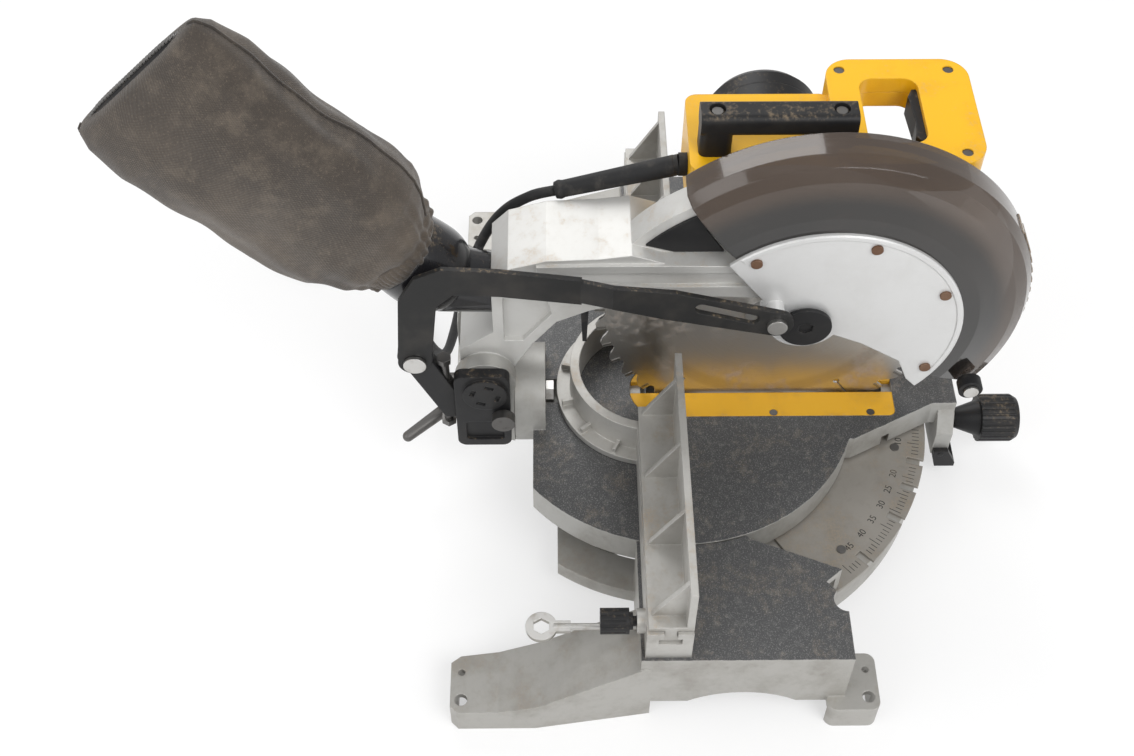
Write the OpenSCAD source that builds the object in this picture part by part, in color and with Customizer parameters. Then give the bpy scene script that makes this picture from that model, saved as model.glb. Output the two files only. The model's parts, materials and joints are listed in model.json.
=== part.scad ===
// Compound mitre saw with a 305 mm blade, a left-tilting head and a sliding left fence.
// Millimetres, +Z up, +X the operator's right, -Y the operator's side.
// The origin is the middle of the four bench bolts, on the bench.

/* [Bench bolts] */
// Bolt spacing across the saw
bolt_dx = 548; // [500:1:600]
// Bolt spacing front to back
bolt_dy = 338; // [300:1:380]
// Bolt hole
bolt_hole_d = 10.5; // [8:0.1:14]
// Small screw hole beside each bolt hole
screw_hole_d = 6; // [4:0.1:8]
// Distance from a bolt hole to its screw hole
screw_hole_in = 25; // [18:1:32]
// Mitre axis, measured from the bolt centre
mitre_y = -16; // [-30:1:0]

/* [Base] */
// Foot beyond the bolt hole
foot_edge = 12; // [9:0.5:20]
// Foot height
foot_h = 29; // [20:1:36]
// Height of the table top and the decks
deck_z = 92; // [84:1:104]
// Half length of the decks
deck_end = 273; // [262:1:282]
// Deck edge ahead of the mitre axis
deck_front = 133; // [120:1:140]
// Deck edge behind the mitre axis
deck_rear = 38; // [36:1:46]
// Casting wall
wall = 6; // [4:0.5:9]
// Deck and table plate thickness
plate_t = 8; // [5:0.5:10]
// Outer radius of the scale apron
apron_r = 230; // [222:1:236]
// Top of the scale apron
apron_z = 57; // [50:1:58]

/* [Table] */
// Table radius
table_r = 164; // [155:1:172]
// Table rim height
table_t = 29; // [22:1:30]
// Gap round the table
table_gap = 1.5; // [0.8:0.1:3]
// Table rear flat behind the mitre axis
table_rear = 125; // [118:1:132]
// Width of the table arm at its root
arm_root_w = 112; // [90:1:120]
// Width of the table arm at its tip
arm_tip_w = 34; // [28:1:44]
// Reach of the table arm from the mitre axis
arm_reach = 256; // [250:1:264]
// Greatest mitre angle
mitre_max = 50; // [45:1:52]
// Kerf plate width
kerf_w = 60; // [50:1:66]
// Kerf plate front edge ahead of the mitre axis
kerf_front = 199; // [190:1:206]
// Kerf plate thickness
kerf_t = 5; // [3:0.5:7]
// Slot left of the blade
slot_left = 3.5; // [2.5:0.5:6]
// Slot right of the blade
slot_right = 9; // [8:0.5:12]
// Radius of the bevel trunnion
trunnion_r = 44; // [40:1:46]
// Trunnion face behind the mitre axis
trunnion_y = 141; // [136:1:146]

/* [Fences] */
// Front face of the fences
fence_y = -2; // [-6:0.5:0]
// Fixed rail height above the deck
rail_h = 37; // [30:1:40]
// Fence height above the deck
fence_h = 91; // [80:1:96]
// Fence plate thickness
fence_t = 6; // [4:0.5:8]
// Rear face of the rails
rail_rear = 35; // [32:1:36]
// Inner end of the sliding fence
fence_in = 31; // [28:1:40]
// Length of the sliding fence
fence_len = 236; // [200:1:240]
// Sliding clearance of the fence tongue
slide_gap = 0.4; // [0.2:0.1:0.8]

/* [Blade and head] */
// Blade diameter
blade_d = 305; // [280:1:306]
// Blade plate thickness
blade_t = 2.2; // [1.6:0.1:3]
// Number of teeth
teeth = 40; // [24:2:48]
// Blade bore and spindle nose
bore_d = 25.4; // [16:0.1:30]
// Flange diameter
flange_d = 50; // [40:1:54]
// Arbor ahead of the mitre axis
arbor_y = -81; // [-90:1:-75]
// Arbor height
arbor_z = 203.5; // [200:0.5:210]
// Chop pivot behind the mitre axis
pivot_y = 165; // [160:1:172]
// Chop pivot height
pivot_z = 158; // [152:1:166]
// Chop pivot shaft
shaft_d = 20; // [14:0.5:24]
// Running clearance on a shaft, on the diameter
run_gap = 0.1; // [0.04:0.02:0.2]
// Width of the arm barrel on the shaft
barrel_w = 61; // [50:1:66]
// Wall of the upper guard
guard_wall = 3; // [2:0.5:4]

/* [Lower guard] */
// Guard pivot ahead of the mitre axis
gp_y = -100; // [-104:1:-96]
// Guard pivot height
gp_z = 229; // [226:1:232]
// Centre of the guard arc ahead of the mitre axis, head down
gc_y = -115; // [-118:1:-110]
// Height of the guard arc centre, head down
gc_z = 216.5; // [214:0.5:220]
// Outer radius of the guard rim
guard_r = 175.5; // [174:0.5:180]
// Radius of the metal side plate
side_r = 116; // [108:1:120]
// Guard pivot stud
stud_d = 20; // [14:0.5:24]
// Pivot cap diameter
cap_d = 43; // [36:1:46]

/* [Motor and handle] */
// Motor radius
motor_r = 51; // [44:1:54]
// Motor axis above the arbor
motor_up = 46; // [40:1:52]
// End of the motor
motor_end = 205; // [180:1:220]
// Handle top height
handle_z = 355; // [345:1:365]
// Handle thickness
handle_t = 30; // [24:1:34]
// Left side of the handle
handle_x0 = 18; // [17:1:26]
// Right side of the handle
handle_x1 = 142; // [125:1:150]
// Rear of the handle loop
handle_y0 = -118; // [-124:1:-110]
// Front of the handle grip
handle_y1 = -236; // [-245:1:-225]
// Width of the handle legs
leg_w = 24; // [18:1:30]
// Width of the grip
grip_w = 44; // [36:1:48]

/* [Bag and cord] */
// Dust collar diameter
collar_d = 62; // [54:1:70]
// Length of the dust bag
bag_len = 270; // [230:5:300]
// Height of the dust bag
bag_h = 150; // [120:5:170]
// Thickness of the dust bag
bag_w = 84; // [60:2:90]
// Rise of the dust bag above the level
bag_rise = 46; // [38:1:52]
// Cord diameter
cord_d = 9; // [7:0.5:10]

/* [Hidden] */
$fn = 64;
eps = 0.02;
rail_top = deck_z + rail_h;
fence_top = deck_z + fence_h;
blade_r = blade_d / 2;
motor_z = arbor_z + motor_up;
upper_r = blade_r + 5.5;
table_low = deck_z - table_t;
link_y = pivot_y + 57;
link_z = pivot_z + 37;
pin_y = gp_y + 27;
pin_z = gp_z + 21;
wrench_d = 6;
wrench_x = -deck_end + 38;
wrench_z = deck_z - plate_t - 4;
roller_y = gc_y - 140;
roller_z = gc_z - 78;
rivet_angles = [54, 107, 154, 206];
handle_screws = [[handle_x0 + 13, handle_y1 + 16], [handle_x1 - 13, handle_y1 + 16],
  [handle_x1 - 13, handle_y0 - 12]];
// where the dust collar stands
collar_y = 205;
collar_z = 255;
coil_x = 295;
coil_y = 350;
coil_out = 71;
coil_pitch = cord_d + 0.7;
coil_in = coil_out - coil_pitch * 3.5 - 5;

// Everything is drawn from the mitre axis and moved once to the bolt centre.
module saw() {
  translate([0, mitre_y, 0]) children();
}

// A flat shape in X and Y, from z0 to z1.
module slab(z0, z1) {
  translate([0, 0, z0]) linear_extrude(z1 - z0) children();
}

// A flat shape in Y and Z, from x0 to x1.
module plate_x(x0, x1) {
  translate([x0, 0, 0]) rotate([90, 0, 90]) linear_extrude(x1 - x0) children();
}

// A flat shape in X and Z, from y0 to y1.
module plate_y(y0, y1) {
  translate([0, y1, 0]) rotate([90, 0, 0]) linear_extrude(y1 - y0) children();
}

module rod_x(d, x0, x1, y, z) {
  translate([x0, y, z]) rotate([0, 90, 0]) cylinder(d = d, h = x1 - x0);
}

module rod_y(d, y0, y1, x, z) {
  translate([x, y0, z]) rotate([-90, 0, 0]) cylinder(d = d, h = y1 - y0);
}

module rod_z(d, z0, z1, x, y) {
  translate([x, y, z0]) cylinder(d = d, h = z1 - z0);
}

// A section in radius and X turned about an axis along X, between two angles from +Y towards +Z.
module turn_x(y, z, a0, a1) {
  translate([0, y, z]) rotate([0, 90, 0]) rotate([0, 0, a0 + 90])
    rotate_extrude(angle = a1 - a0, $fn = 96) children();
}

// A rounded rectangle between two corners.
module round_rect(x0, y0, x1, y1, r) {
  translate([x0 + r, y0]) square([x1 - x0 - 2 * r, y1 - y0]);
  translate([x0, y0 + r]) square([x1 - x0, y1 - y0 - 2 * r]);
  for (x = [x0 + r, x1 - r], y = [y0 + r, y1 - r]) translate([x, y]) circle(r);
}

module both_sides() {
  children();
  mirror([1, 0, 0]) children();
}

// The bolts and screw holes of the bench, seen from the mitre axis.
module at_bolts() {
  for (x = [-1, 1], y = [-1, 1]) translate([x * bolt_dx / 2, y * bolt_dy / 2 - mitre_y, 0]) children();
}

// The plan of the table arm.
module arm_plan(grow) {
  root = sqrt(table_r * table_r - arm_root_w * arm_root_w / 4);
  polygon([[-arm_root_w / 2 - grow, -root + 30], [-arm_root_w / 2 - grow, -root - 5],
    [-arm_tip_w / 2 - grow, -arm_reach + 22], [-arm_tip_w / 2 - grow, -arm_reach - grow],
    [arm_tip_w / 2 + grow, -arm_reach - grow], [arm_tip_w / 2 + grow, -arm_reach + 22],
    [arm_root_w / 2 + grow, -root - 5], [arm_root_w / 2 + grow, -root + 30]]);
}

// One deck seen from above, cut back for the table and for the arm at its greatest angle.
module deck_plan(in) {
  difference() {
    translate([-deck_end + in, -deck_front + in]) square([deck_end - 100, deck_front + deck_rear - 2 * in]);
    circle(table_r + table_gap + in, $fn = 96);
    rotate(-mitre_max) arm_plan(table_gap + in);
    rotate(-mitre_max) translate([-39 - in, -270]) square([78 + 2 * in, 40]);
    translate([-deck_end + 55, -deck_front]) circle(11 + in);
  }
}

// The rear leg seen from above.
module leg_plan(in) {
  edge = bolt_dx / 2 + foot_edge;
  back = bolt_dy / 2 - mitre_y + 9;
  polygon([[-edge + in, back - in - 6], [-edge + in + 6, back - in], [-edge + 46 - in, back - in],
    [-edge + 52 - in, back - in - 8], [-deck_end + 58 - in, deck_rear - 10],
    [-deck_end + in, deck_rear - 10], [-edge + in, back - 70]]);
}

// The rear leg seen from the side, sloping from the deck to the foot.
module leg_side(in) {
  back = bolt_dy / 2 - mitre_y + 9;
  polygon([[deck_rear - 10, -eps - in], [back + 1, -eps - in], [back + 1, foot_h - in],
    [back - 40, foot_h - in], [back - 75, foot_h + 9 - in], [deck_rear - 4, deck_z - 14 - in],
    [deck_rear - 10, deck_z - 14 - in]]);
}

module rear_leg() {
  difference() {
    intersection() {
      slab(0, deck_z) leg_plan(0);
      plate_x(-320, -180) leg_side(0);
    }
    intersection() {
      slab(-1, deck_z) leg_plan(wall);
      plate_x(-320, -180) leg_side(wall);
    }
  }
}

module front_foot() {
  edge = bolt_dx / 2 + foot_edge;
  front = bolt_dy / 2 + mitre_y + 9;
  difference() {
    slab(0, foot_h) round_rect(-edge, -front, -edge + 52, -front + 44, 8);
    slab(-1, foot_h - wall)
      round_rect(-edge + wall, -front + wall, -edge + 52 - wall, -front + 44 + wall, 3);
  }
}

// The scale apron and the ring that carries the table.
module ring() {
  inner = 150;
  slab(apron_z - 9, apron_z) difference() {
    circle(apron_r, $fn = 128);
    circle(inner, $fn = 96);
    translate([-300, 20]) square([600, 300]);
  }
  slab(22, apron_z - 5) difference() {
    circle(apron_r, $fn = 128);
    circle(apron_r - wall, $fn = 128);
    translate([-300, 20]) square([600, 300]);
  }
  slab(22, 38) difference() {
    circle(inner + 32, $fn = 96);
    circle(inner, $fn = 96);
    translate([-300, 104]) square([600, 300]);
  }
  rod_z(52, 22, 44, 0, 0);
  slab(22, 34) for (a = [25, 155, 205, 335]) rotate(a) translate([20, -9]) square([inner - 18, 18]);
}

module base_casting() {
  color("lightgray") saw() difference() {
    union() {
      both_sides() {
        difference() {
          slab(foot_h - 7, deck_z) deck_plan(0);
          slab(foot_h - 8, deck_z - plate_t) deck_plan(wall);
          // arched relief of the outer wall
          rod_x(150, -deck_end - 1, -deck_end + wall + 1, -48, -38);
        }
        rear_leg();
        front_foot();
      }
      ring();
    }
    rod_y(wrench_d + 2 * run_gap, deck_rear - 14, deck_rear + 3, wrench_x, wrench_z);
    at_bolts() {
      translate([0, 0, -1]) cylinder(d = bolt_hole_d, h = foot_h + 40);
    }
    for (x = [-1, 1], y = [-1, 1])
      translate([x * (bolt_dx / 2 - screw_hole_in), y * bolt_dy / 2 - mitre_y, -1])
        cylinder(d = screw_hole_d, h = foot_h + 40);
    rod_z(12.2, 10, 60, 0, 0);
    // bolt holes of the fence
    for (x = [-1, 1], t = [-254, -186]) rod_z(8.4, 60, deck_z + 1, x * t, rail_rear - 9);
    // tapped holes of the scale
    for (a = [-47, -12, 12, 47]) rotate(a) rod_z(4, apron_z - 12, apron_z + 1, 0, -apron_r + 24);
  }
}

module scale_plate() {
  color("silver") saw() difference() {
    slab(apron_z, apron_z + 3) difference() {
      intersection() {
        circle(apron_r + 3, $fn = 128);
        polygon([[0, 0], [-330, -200], [-330, -340], [330, -340], [330, -200]]);
      }
      circle(table_r - 6, $fn = 96);
      for (a = [0, 15, 22.5, 31.6, 45], s = [-1, 1])
        rotate(a * s) translate([-3.5, -apron_r - 6]) square([7, 18]);
      both_sides() deck_plan(-1);
    }
    for (a = [-47, -12, 12, 47]) rotate(a) rod_z(4, apron_z - 1, apron_z + 4, 0, -apron_r + 24);
  }
}

module scale_screws() {
  color("dimgray") saw() for (a = [-47, -12, 12, 47]) rotate(a) {
    rod_z(4, apron_z - 8, apron_z + 3, 0, -apron_r + 24);
    rod_z(8, apron_z + 3, apron_z + 4, 0, -apron_r + 24);
  }
}

// The fixed rails with the bridge behind the blade, and the tall right fence.
module rail_half() {
  seat = table_r + 8;
  slab(deck_z, rail_top) translate([-deck_end + 3, fence_y])
    square([deck_end - 3 - seat, rail_rear - fence_y]);
  slab(deck_z + table_gap / 2, rail_top)
    translate([-seat - 1, fence_y]) square([seat - 77, rail_rear - fence_y]);
  plate_y(fence_y, fence_y + 10) polygon([[-80, deck_z + table_gap / 2], [-11, deck_z + table_gap / 2],
    [-18, deck_z + 6], [-54, rail_top], [-80, rail_top]]);
}

module bridge() {
  difference() {
    union() {
      slab(deck_z + table_gap / 2, rail_top) translate([0, 20]) circle(72, $fn = 96);
      slab(deck_z + table_gap / 2, deck_z + 7) translate([0, 20]) circle(84, $fn = 96);
      for (a = [25, 50, 75, 105, 130, 155]) translate([0, 20, 0]) rotate(a)
        slab(deck_z + 6, deck_z + 13) translate([70, -1.5]) square([12, 3]);
      slab(deck_z + table_gap / 2, rail_top) translate([-82, rail_rear - 9]) square([164, 9]);
    }
    slab(deck_z, rail_top + 1) translate([0, 20]) circle(64, $fn = 96);
    slab(deck_z, rail_top + 1) translate([-100, -100]) square([200, rail_rear - 9 + 100]);
  }
}

// Ribbed fence plate, from x0 to x1 on its own flange.
module fence_body(x0, x1, tip) {
  low = rail_top + slide_gap;
  plate_y(fence_y, fence_y + fence_t) polygon([[x0, low], [x1 - tip, low], [x1 - tip + 6, low + 8],
    [x1, fence_top], [x0, fence_top]]);
  slab(low, low + 5) translate([x0, fence_y]) square([x1 - tip - x0, rail_rear - 1 - fence_y]);
  for (i = [0:3]) plate_x(x0 + 11 + i * (x1 - tip - x0 - 20) / 3, x0 + 15 + i * (x1 - tip - x0 - 20) / 3)
    polygon([[fence_y + 2, low + 2], [rail_rear - 4, low + 2], [rail_rear - 4, low + 6],
      [fence_y + fence_t, fence_top - 1], [fence_y + 2, fence_top - 1]]);
}

module tongue(grow) {
  plate_x(-deck_end - 1, -60) {
    translate([11 - grow, rail_top - 13]) square([10 + 2 * grow, 15 + slide_gap]);
    translate([7 - grow, rail_top - 15 - grow]) square([18 + 2 * grow, 7 + 2 * grow]);
  }
}

module fixed_fence() {
  color("gainsboro") saw() difference() {
    union() {
      both_sides() rail_half();
      bridge();
      // right fence, in one piece with its rail
      translate([0, 0, -slide_gap - eps]) mirror([1, 0, 0]) fence_body(-deck_end + 3, -78, 22);
      rod_y(20, rail_rear - 1, rail_rear + 7, -250, rail_top - 13);
    }
    tongue(slide_gap);
    rod_y(8.4, 20, rail_rear + 8, -250, rail_top - 13);
    for (x = [-1, 1], t = [-254, -186]) rod_z(8, deck_z - 1, deck_z + 18, x * t, rail_rear - 9);
    for (x = [-1, 1]) rod_y(8, fence_y + 3, fence_y + 11, x * 62, rail_top - 16);
  }
}

module fence_bolts() {
  color("dimgray") saw() {
    for (x = [-1, 1], t = [-254, -186]) {
      rod_z(8, deck_z - plate_t, deck_z + 16, x * t, rail_rear - 9);
      translate([x * t, rail_rear - 9, deck_z - plate_t - 5.5]) cylinder(d = 13, h = 5.5, $fn = 6);
    }
    for (x = [-1, 1]) {
      rod_y(8, fence_y + 3, fence_y + 11, x * 62, rail_top - 16);
      translate([x * 62, fence_y + 10, rail_top - 16]) rotate([-90, 0, 0]) cylinder(d = 22, h = 9, $fn = 6);
      rod_y(16, fence_y + 19, fence_y + 27, x * 62, rail_top - 16);
    }
  }
}

module sliding_fence() {
  color("gainsboro") saw() {
    fence_body(-fence_in - fence_len, -fence_in, 20);
    intersection() {
      tongue(0);
      translate([-fence_in - fence_len, -10, 0]) cube([fence_len - 45, 60, 300]);
    }
  }
}

// Clamp knob of the sliding fence with its screw.
module fence_knob() {
  z = rail_top - 13;
  color("black") saw() {
    rod_y(8, 26, rail_rear + 14, -250, z);
    difference() {
      rod_y(21, rail_rear + 13, rail_rear + 36, -250, z);
      for (a = [0:30:330]) translate([-250, rail_rear + 12, z]) rotate([-90, a, 0])
        translate([11, 0, 4]) cylinder(d = 2.4, h = 30, $fn = 16);
    }
    rod_y(14, rail_rear + 10, rail_rear + 14, -250, z);
  }
}

// Blade wrench, kept in a hole of the left deck's rear wall.
module blade_wrench() {
  color("silver") saw() {
    rod_y(wrench_d, deck_rear - 16, deck_rear + 70, wrench_x, wrench_z);
    difference() {
      slab(wrench_z - 2, wrench_z + 2) {
        translate([wrench_x, deck_rear + 80]) circle(13);
        translate([wrench_x - 5, deck_rear + 56]) square([10, 20]);
      }
      translate([wrench_x, deck_rear + 80, wrench_z - 3]) cylinder(d = 14.7, h = 6, $fn = 6);
    }
  }
}

module table_disc(r) {
  difference() {
    circle(r, $fn = 128);
    translate([-200, table_rear]) square([400, 200]);
  }
}

module mitre_table() {
  color("slategray") saw() difference() {
    union() {
      slab(deck_z - plate_t, deck_z) {
        table_disc(table_r);
        arm_plan(0);
      }
      slab(table_low, deck_z - 1) difference() {
        union() {
          table_disc(table_r);
          arm_plan(0);
        }
        difference() {
          union() {
            circle(table_r - wall, $fn = 128);
            arm_plan(-wall);
          }
          translate([-200, table_rear - wall]) square([400, 200]);
        }
      }
      // long ribs and the hub plate under the slot
      for (s = [-1, 1]) slab(47, deck_z - 1) translate([s * 44 - 3, -135]) square([6, 135 + table_rear - 4]);
      slab(46, 58) translate([-46, -21]) square([92, 42]);
      rod_z(52, 45, 58, 0, 0);
      // trunnion of the bevel
      rod_y(2 * trunnion_r, 114, trunnion_y, 0, deck_z);
      slab(table_low - 3, deck_z - 1) translate([-38, 96]) square([76, 114 - 96 + 8]);
      // front block that reaches down past the scale
      plate_y(-arm_reach, -arm_reach + 15) polygon([[-30, 33], [30, 33], [30, 62],
        [arm_tip_w / 2, deck_z - 10], [arm_tip_w / 2, deck_z], [-arm_tip_w / 2, deck_z],
        [-arm_tip_w / 2, deck_z - 10], [-30, 62]]);
    }
    // seat of the kerf plates
    slab(deck_z - kerf_t, deck_z + 1) kerf_plan(0.3);
    slab(deck_z - 19, deck_z) translate([-kerf_w / 2 + 8, -kerf_front + 8])
      square([kerf_w - 14, kerf_front + 20]);
    slab(59, deck_z - 18) translate([-41, -kerf_front + 4]) square([82, kerf_front + 66]);
    rod_z(12.2, 40, 60, 0, 0);
    rod_y(12.2, 90, trunnion_y + 1, 0, deck_z);
    rod_y(27, 102, 114, 0, deck_z);
    rod_y(10 + run_gap, -arm_reach - 1, -arm_reach + 16, 0, 47);
    for (x = [-1, 1], y = [-kerf_front + 22, -90, 14])
      rod_z(3.6, deck_z - kerf_t - 10, deck_z, x * (kerf_w / 2 - 4), y);
    rod_x(5 + run_gap, -40, 40, -arm_reach + 7.5, 38);
  }
}

module kerf_plan(grow) {
  round_rect(-kerf_w / 2 - grow, -kerf_front - grow, kerf_w / 2 + grow, 0, 6);
  translate([0, 8]) circle(kerf_w / 2 + grow);
  translate([-kerf_w / 2 - grow, -20]) square([kerf_w + 2 * grow, 28]);
}

// Two plastic halves that leave the slot for the upright and the tilted blade.
module kerf_plates() {
  color("goldenrod") saw() difference() {
    slab(deck_z - kerf_t, deck_z - 0.2) difference() {
      kerf_plan(0);
      translate([-slot_left, -kerf_front - 1]) square([slot_left + slot_right, kerf_front + 60]);
    }
    for (x = [-1, 1], y = [-kerf_front + 22, -90, 14]) {
      rod_z(4.4, deck_z - kerf_t - 1, deck_z, x * (kerf_w / 2 - 4), y);
      rod_z(7.4, deck_z - 2, deck_z, x * (kerf_w / 2 - 4), y);
    }
  }
}

module kerf_screws() {
  color("dimgray") saw() for (x = [-1, 1], y = [-kerf_front + 22, -90, 14]) {
    rod_z(3.6, deck_z - kerf_t - 8, deck_z - 1.5, x * (kerf_w / 2 - 4), y);
    rod_z(7, deck_z - 2, deck_z - 0.6, x * (kerf_w / 2 - 4), y);
  }
}

module mitre_pivot_bolt() {
  color("dimgray") saw() {
    rod_z(12, 14, 59, 0, 0);
    rod_z(24, 58, 60, 0, 0);
    rod_z(24, 20, 21.9, 0, 0);
    translate([0, 0, 12]) cylinder(d = 21, h = 8, $fn = 6);
  }
}

// Pointer over the mitre scale, under the edge of the arm.
module mitre_pointer() {
  color("firebrick") saw() difference() {
    slab(apron_z + 3.6, apron_z + 5) translate([0, -arm_reach + 30]) {
      translate([-7, -15]) square([14, 13]);
      polygon([[-7, -2.02], [7, -2.02], [1, 14], [-1, 14]]);
    }
    rod_z(3.2, apron_z, apron_z + 6, 0, -arm_reach + 22);
  }
}

module mitre_lock_knob() {
  y = -arm_reach;
  color("black") saw() difference() {
    union() {
      translate([0, y - 8, 47]) rotate([90, 0, 0]) cylinder(d1 = 18, d2 = 34, h = 22.1);
      translate([0, y - 30, 47]) rotate([90, 0, 0]) cylinder(d = 44, h = 30);
      translate([0, y - 60, 47]) rotate([90, 0, 0]) cylinder(d1 = 44, d2 = 38, h = 5);
    }
    for (a = [0:15:345]) translate([0, y - 28, 47]) rotate([90, a, 0])
      translate([22.6, 0, 0]) cylinder(d = 3, h = 36, $fn = 16);
    rod_y(10, y - 40, y - 7, 0, 47);
  }
}

module mitre_lock_rod() {
  color("silver") saw() rod_y(10, -arm_reach - 40, -apron_r - 4, 0, 47);
}

// Spring latch under the arm that drops into the scale notches.
module mitre_latch() {
  y = -arm_reach;
  color("black") saw() {
    rod_x(5, -36, 36, y + 7.5, 38);
    for (s = [-1, 1]) plate_x(s * 33 - 2.5, s * 33 + 2.5) polygon([[y + 1, 42], [y + 14, 42], [y + 14, 34],
      [y + 10, 20], [y - 8, 20], [y - 8, 25]]);
    slab(20, 25) translate([-35, y - 8]) square([70, 18]);
  }
}

// Side view of one pivot ear, with its corners at the trunnion face and the pivot.
module ear_side() {
  translate([pivot_y, pivot_z]) circle(26);
  polygon([[trunnion_y + 0.3, 78], [pivot_y + 27, 96], [pivot_y + 27, 150], [pivot_y + 24, pivot_z + 10],
    [pivot_y - 24, pivot_z + 10], [trunnion_y + 0.3, 140]]);
}

module bevel_support() {
  color("darkgray") saw() difference() {
    union() {
      intersection() {
        rod_y(2 * trunnion_r, trunnion_y + 0.3, trunnion_y + 12, 0, deck_z);
        translate([-44, 0, 0]) cube([88, 300, 300]);
      }
      both_sides() plate_x(-barrel_w / 2 - 13.5, -barrel_w / 2 - 0.5) ear_side();
      plate_x(-44, 44) polygon([[trunnion_y + 0.3, 76], [pivot_y + 27, 94], [pivot_y + 27, 122],
        [trunnion_y + 0.3, 126]]);
    }
    rod_y(12.2, trunnion_y, pivot_y + 30, 0, deck_z + 0.001);
    rod_x(shaft_d, -60, 60, pivot_y, pivot_z);
    rod_x(10.1, -60, -barrel_w / 2, pivot_y - 15, pivot_z - 28);
  }
}

module chop_shaft() {
  color("silver") saw() {
    rod_x(shaft_d, -44, 46, pivot_y, pivot_z);
    rod_x(30, 44.02, 49, pivot_y, pivot_z);
  }
}

// Black cover on the left ear, with the slotted pivot cap.
module pivot_cover() {
  color("black") saw() difference() {
    union() {
      plate_x(-54, -44) round_rect(trunnion_y + 3, 84, pivot_y + 26, pivot_z + 22, 8);
      rod_x(38, -57, -53, pivot_y, pivot_z);
    }
    plate_x(-55, -51) round_rect(trunnion_y + 9, 92, pivot_y + 18, 118, 4);
    for (a = [0:90:270]) translate([0, pivot_y, pivot_z]) rotate([a + 20, 0, 0]) plate_x(-58, -55)
      difference() {
        translate([9, -4]) square([4, 8]);
        circle(9);
      }
    rod_x(10.4, -60, -40, pivot_y - 15, pivot_z - 28);
  }
}

module link_bracket() {
  color("black") saw() difference() {
    plate_x(-43.5, -32) {
      translate([pivot_y + 57, pivot_z + 37]) circle(15);
      polygon([[pivot_y + 27.02, 112], [pivot_y + 36, 112], [pivot_y + 72, pivot_z + 37],
        [pivot_y + 57, pivot_z + 52], [pivot_y + 49, pivot_z + 44], [pivot_y + 27.02, 150]]);
    }
    rod_x(12, -46, -30, pivot_y + 57, pivot_z + 37);
    rod_z(8, 100, 220, -37.8, pivot_y + 34);
  }
}

module link_stud() {
  color("silver") saw() {
    rod_x(12, -51, -32, pivot_y + 57, pivot_z + 37);
    rod_x(19, -53.5, -50.5, pivot_y + 57, pivot_z + 37);
  }
}

module stop_bolts() {
  color("dimgray") saw() {
    rod_z(8, 98, 182, -37.8, pivot_y + 34);
    translate([-37.8, pivot_y + 34, 182]) cylinder(d = 13, h = 6, $fn = 6);
    translate([-37.8, pivot_y + 34, 99]) cylinder(d = 14, h = 6, $fn = 6);
  }
}

module bevel_lever() {
  y0 = pivot_y + 31;
  color("dimgray") saw() difference() {
    union() {
      rod_y(34, y0, y0 + 14, 0, deck_z);
      hull() {
        translate([-12, y0 + 7, deck_z - 9]) sphere(6, $fn = 24);
        translate([-34, y0 + 42, deck_z - 22]) sphere(5, $fn = 24);
      }
    }
    rod_y(12.2, y0 - 1, y0 + 15, 0, deck_z);
  }
}

module bevel_clamp_bolt() {
  color("silver") saw() {
    rod_y(12, 108, pivot_y + 52, 0, deck_z);
    translate([0, 106.7, deck_z]) rotate([-90, 0, 0]) cylinder(d = 20, h = 7, $fn = 6);
    rod_y(20, pivot_y + 27.1, pivot_y + 31, 0, deck_z);
    translate([0, pivot_y + 45.3, deck_z]) rotate([-90, 0, 0]) cylinder(d = 17, h = 6, $fn = 6);
  }
}

// Side view of the head arm from the pivot barrel to the upper guard.
module arm_side() {
  polygon([[pivot_y + 21, pivot_z - 4], [pivot_y + 21, 184], [157, 207], [157, 268], [143, 284],
    [112, 294], [70, 296], [44, 300], [10, 288], [-20, 287], [-20, 254], [20, 252], [48, 242],
    [77, 234], [104, 220], [124, 192], [pivot_y - 21, pivot_z - 4]]);
}

module upper_disc(r) {
  translate([arbor_y, arbor_z]) circle(r, $fn = 128);
}

module arm_casting() {
  near = -14;
  color("gainsboro") saw() difference() {
    union() {
      intersection() {
        plate_x(near, 11) upper_disc(upper_r);
        translate([-50, -400, 247]) cube([100, 800, 300]);
      }
      plate_x(-27, 30) arm_side();
      plate_x(29, 40) polygon([[157, 254], [157, 268], [143, 284], [112, 294], [70, 296], [44, 300],
        [10, 288], [10, 256]]);
      // beam that carries the guard pivot on the near side of the blade
      plate_x(-30, near) polygon([[120, 262], [120, 290], [60, 291], [-70, 290], [gp_y + 2, 266],
        [gp_y - 16, gp_z + 5], [gp_y + 16, gp_z - 4], [-72, 252], [40, 257]]);
      rod_x(36, -30, near, gp_y, gp_z);
      rod_x(46, -barrel_w / 2, barrel_w / 2, pivot_y, pivot_z);
      // lip between the guard and the gear case
      plate_x(8, 11) intersection() {
        upper_disc(upper_r - 1);
        polygon([[-160, 196], [-10, 196], [0, 252], [-180, 252]]);
      }
    }
    // room for the blade
    plate_x(near + guard_wall, 8) upper_disc(upper_r - guard_wall);
    rod_x(shaft_d + run_gap, -60, 60, pivot_y, pivot_z);
    rod_x(12, -31, near - 1, gp_y, gp_z);
    rod_x(34, 7, 12, arbor_y, arbor_z);
    // pockets of the side
    plate_x(-28, -22) polygon([[132, 196], [148, 196], [148, 250], [112, 250], [108, 230]]);
    plate_x(-31, -26) polygon([[112, 266], [112, 282], [-52, 282], [-58, 266]]);
    plate_x(24, 31) polygon([[132, 196], [148, 196], [148, 250], [40, 250], [104, 226]]);
  }
}

// Dark panel above the beam.
module arm_panel() {
  color("black") saw() plate_x(-16, -14) intersection() {
    upper_disc(upper_r - 9);
    polygon([[-30, 292.5], [10, 292.5], [40, 302], [44, 340], [-14, 340], [-14, 318]]);
  }
}

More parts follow.
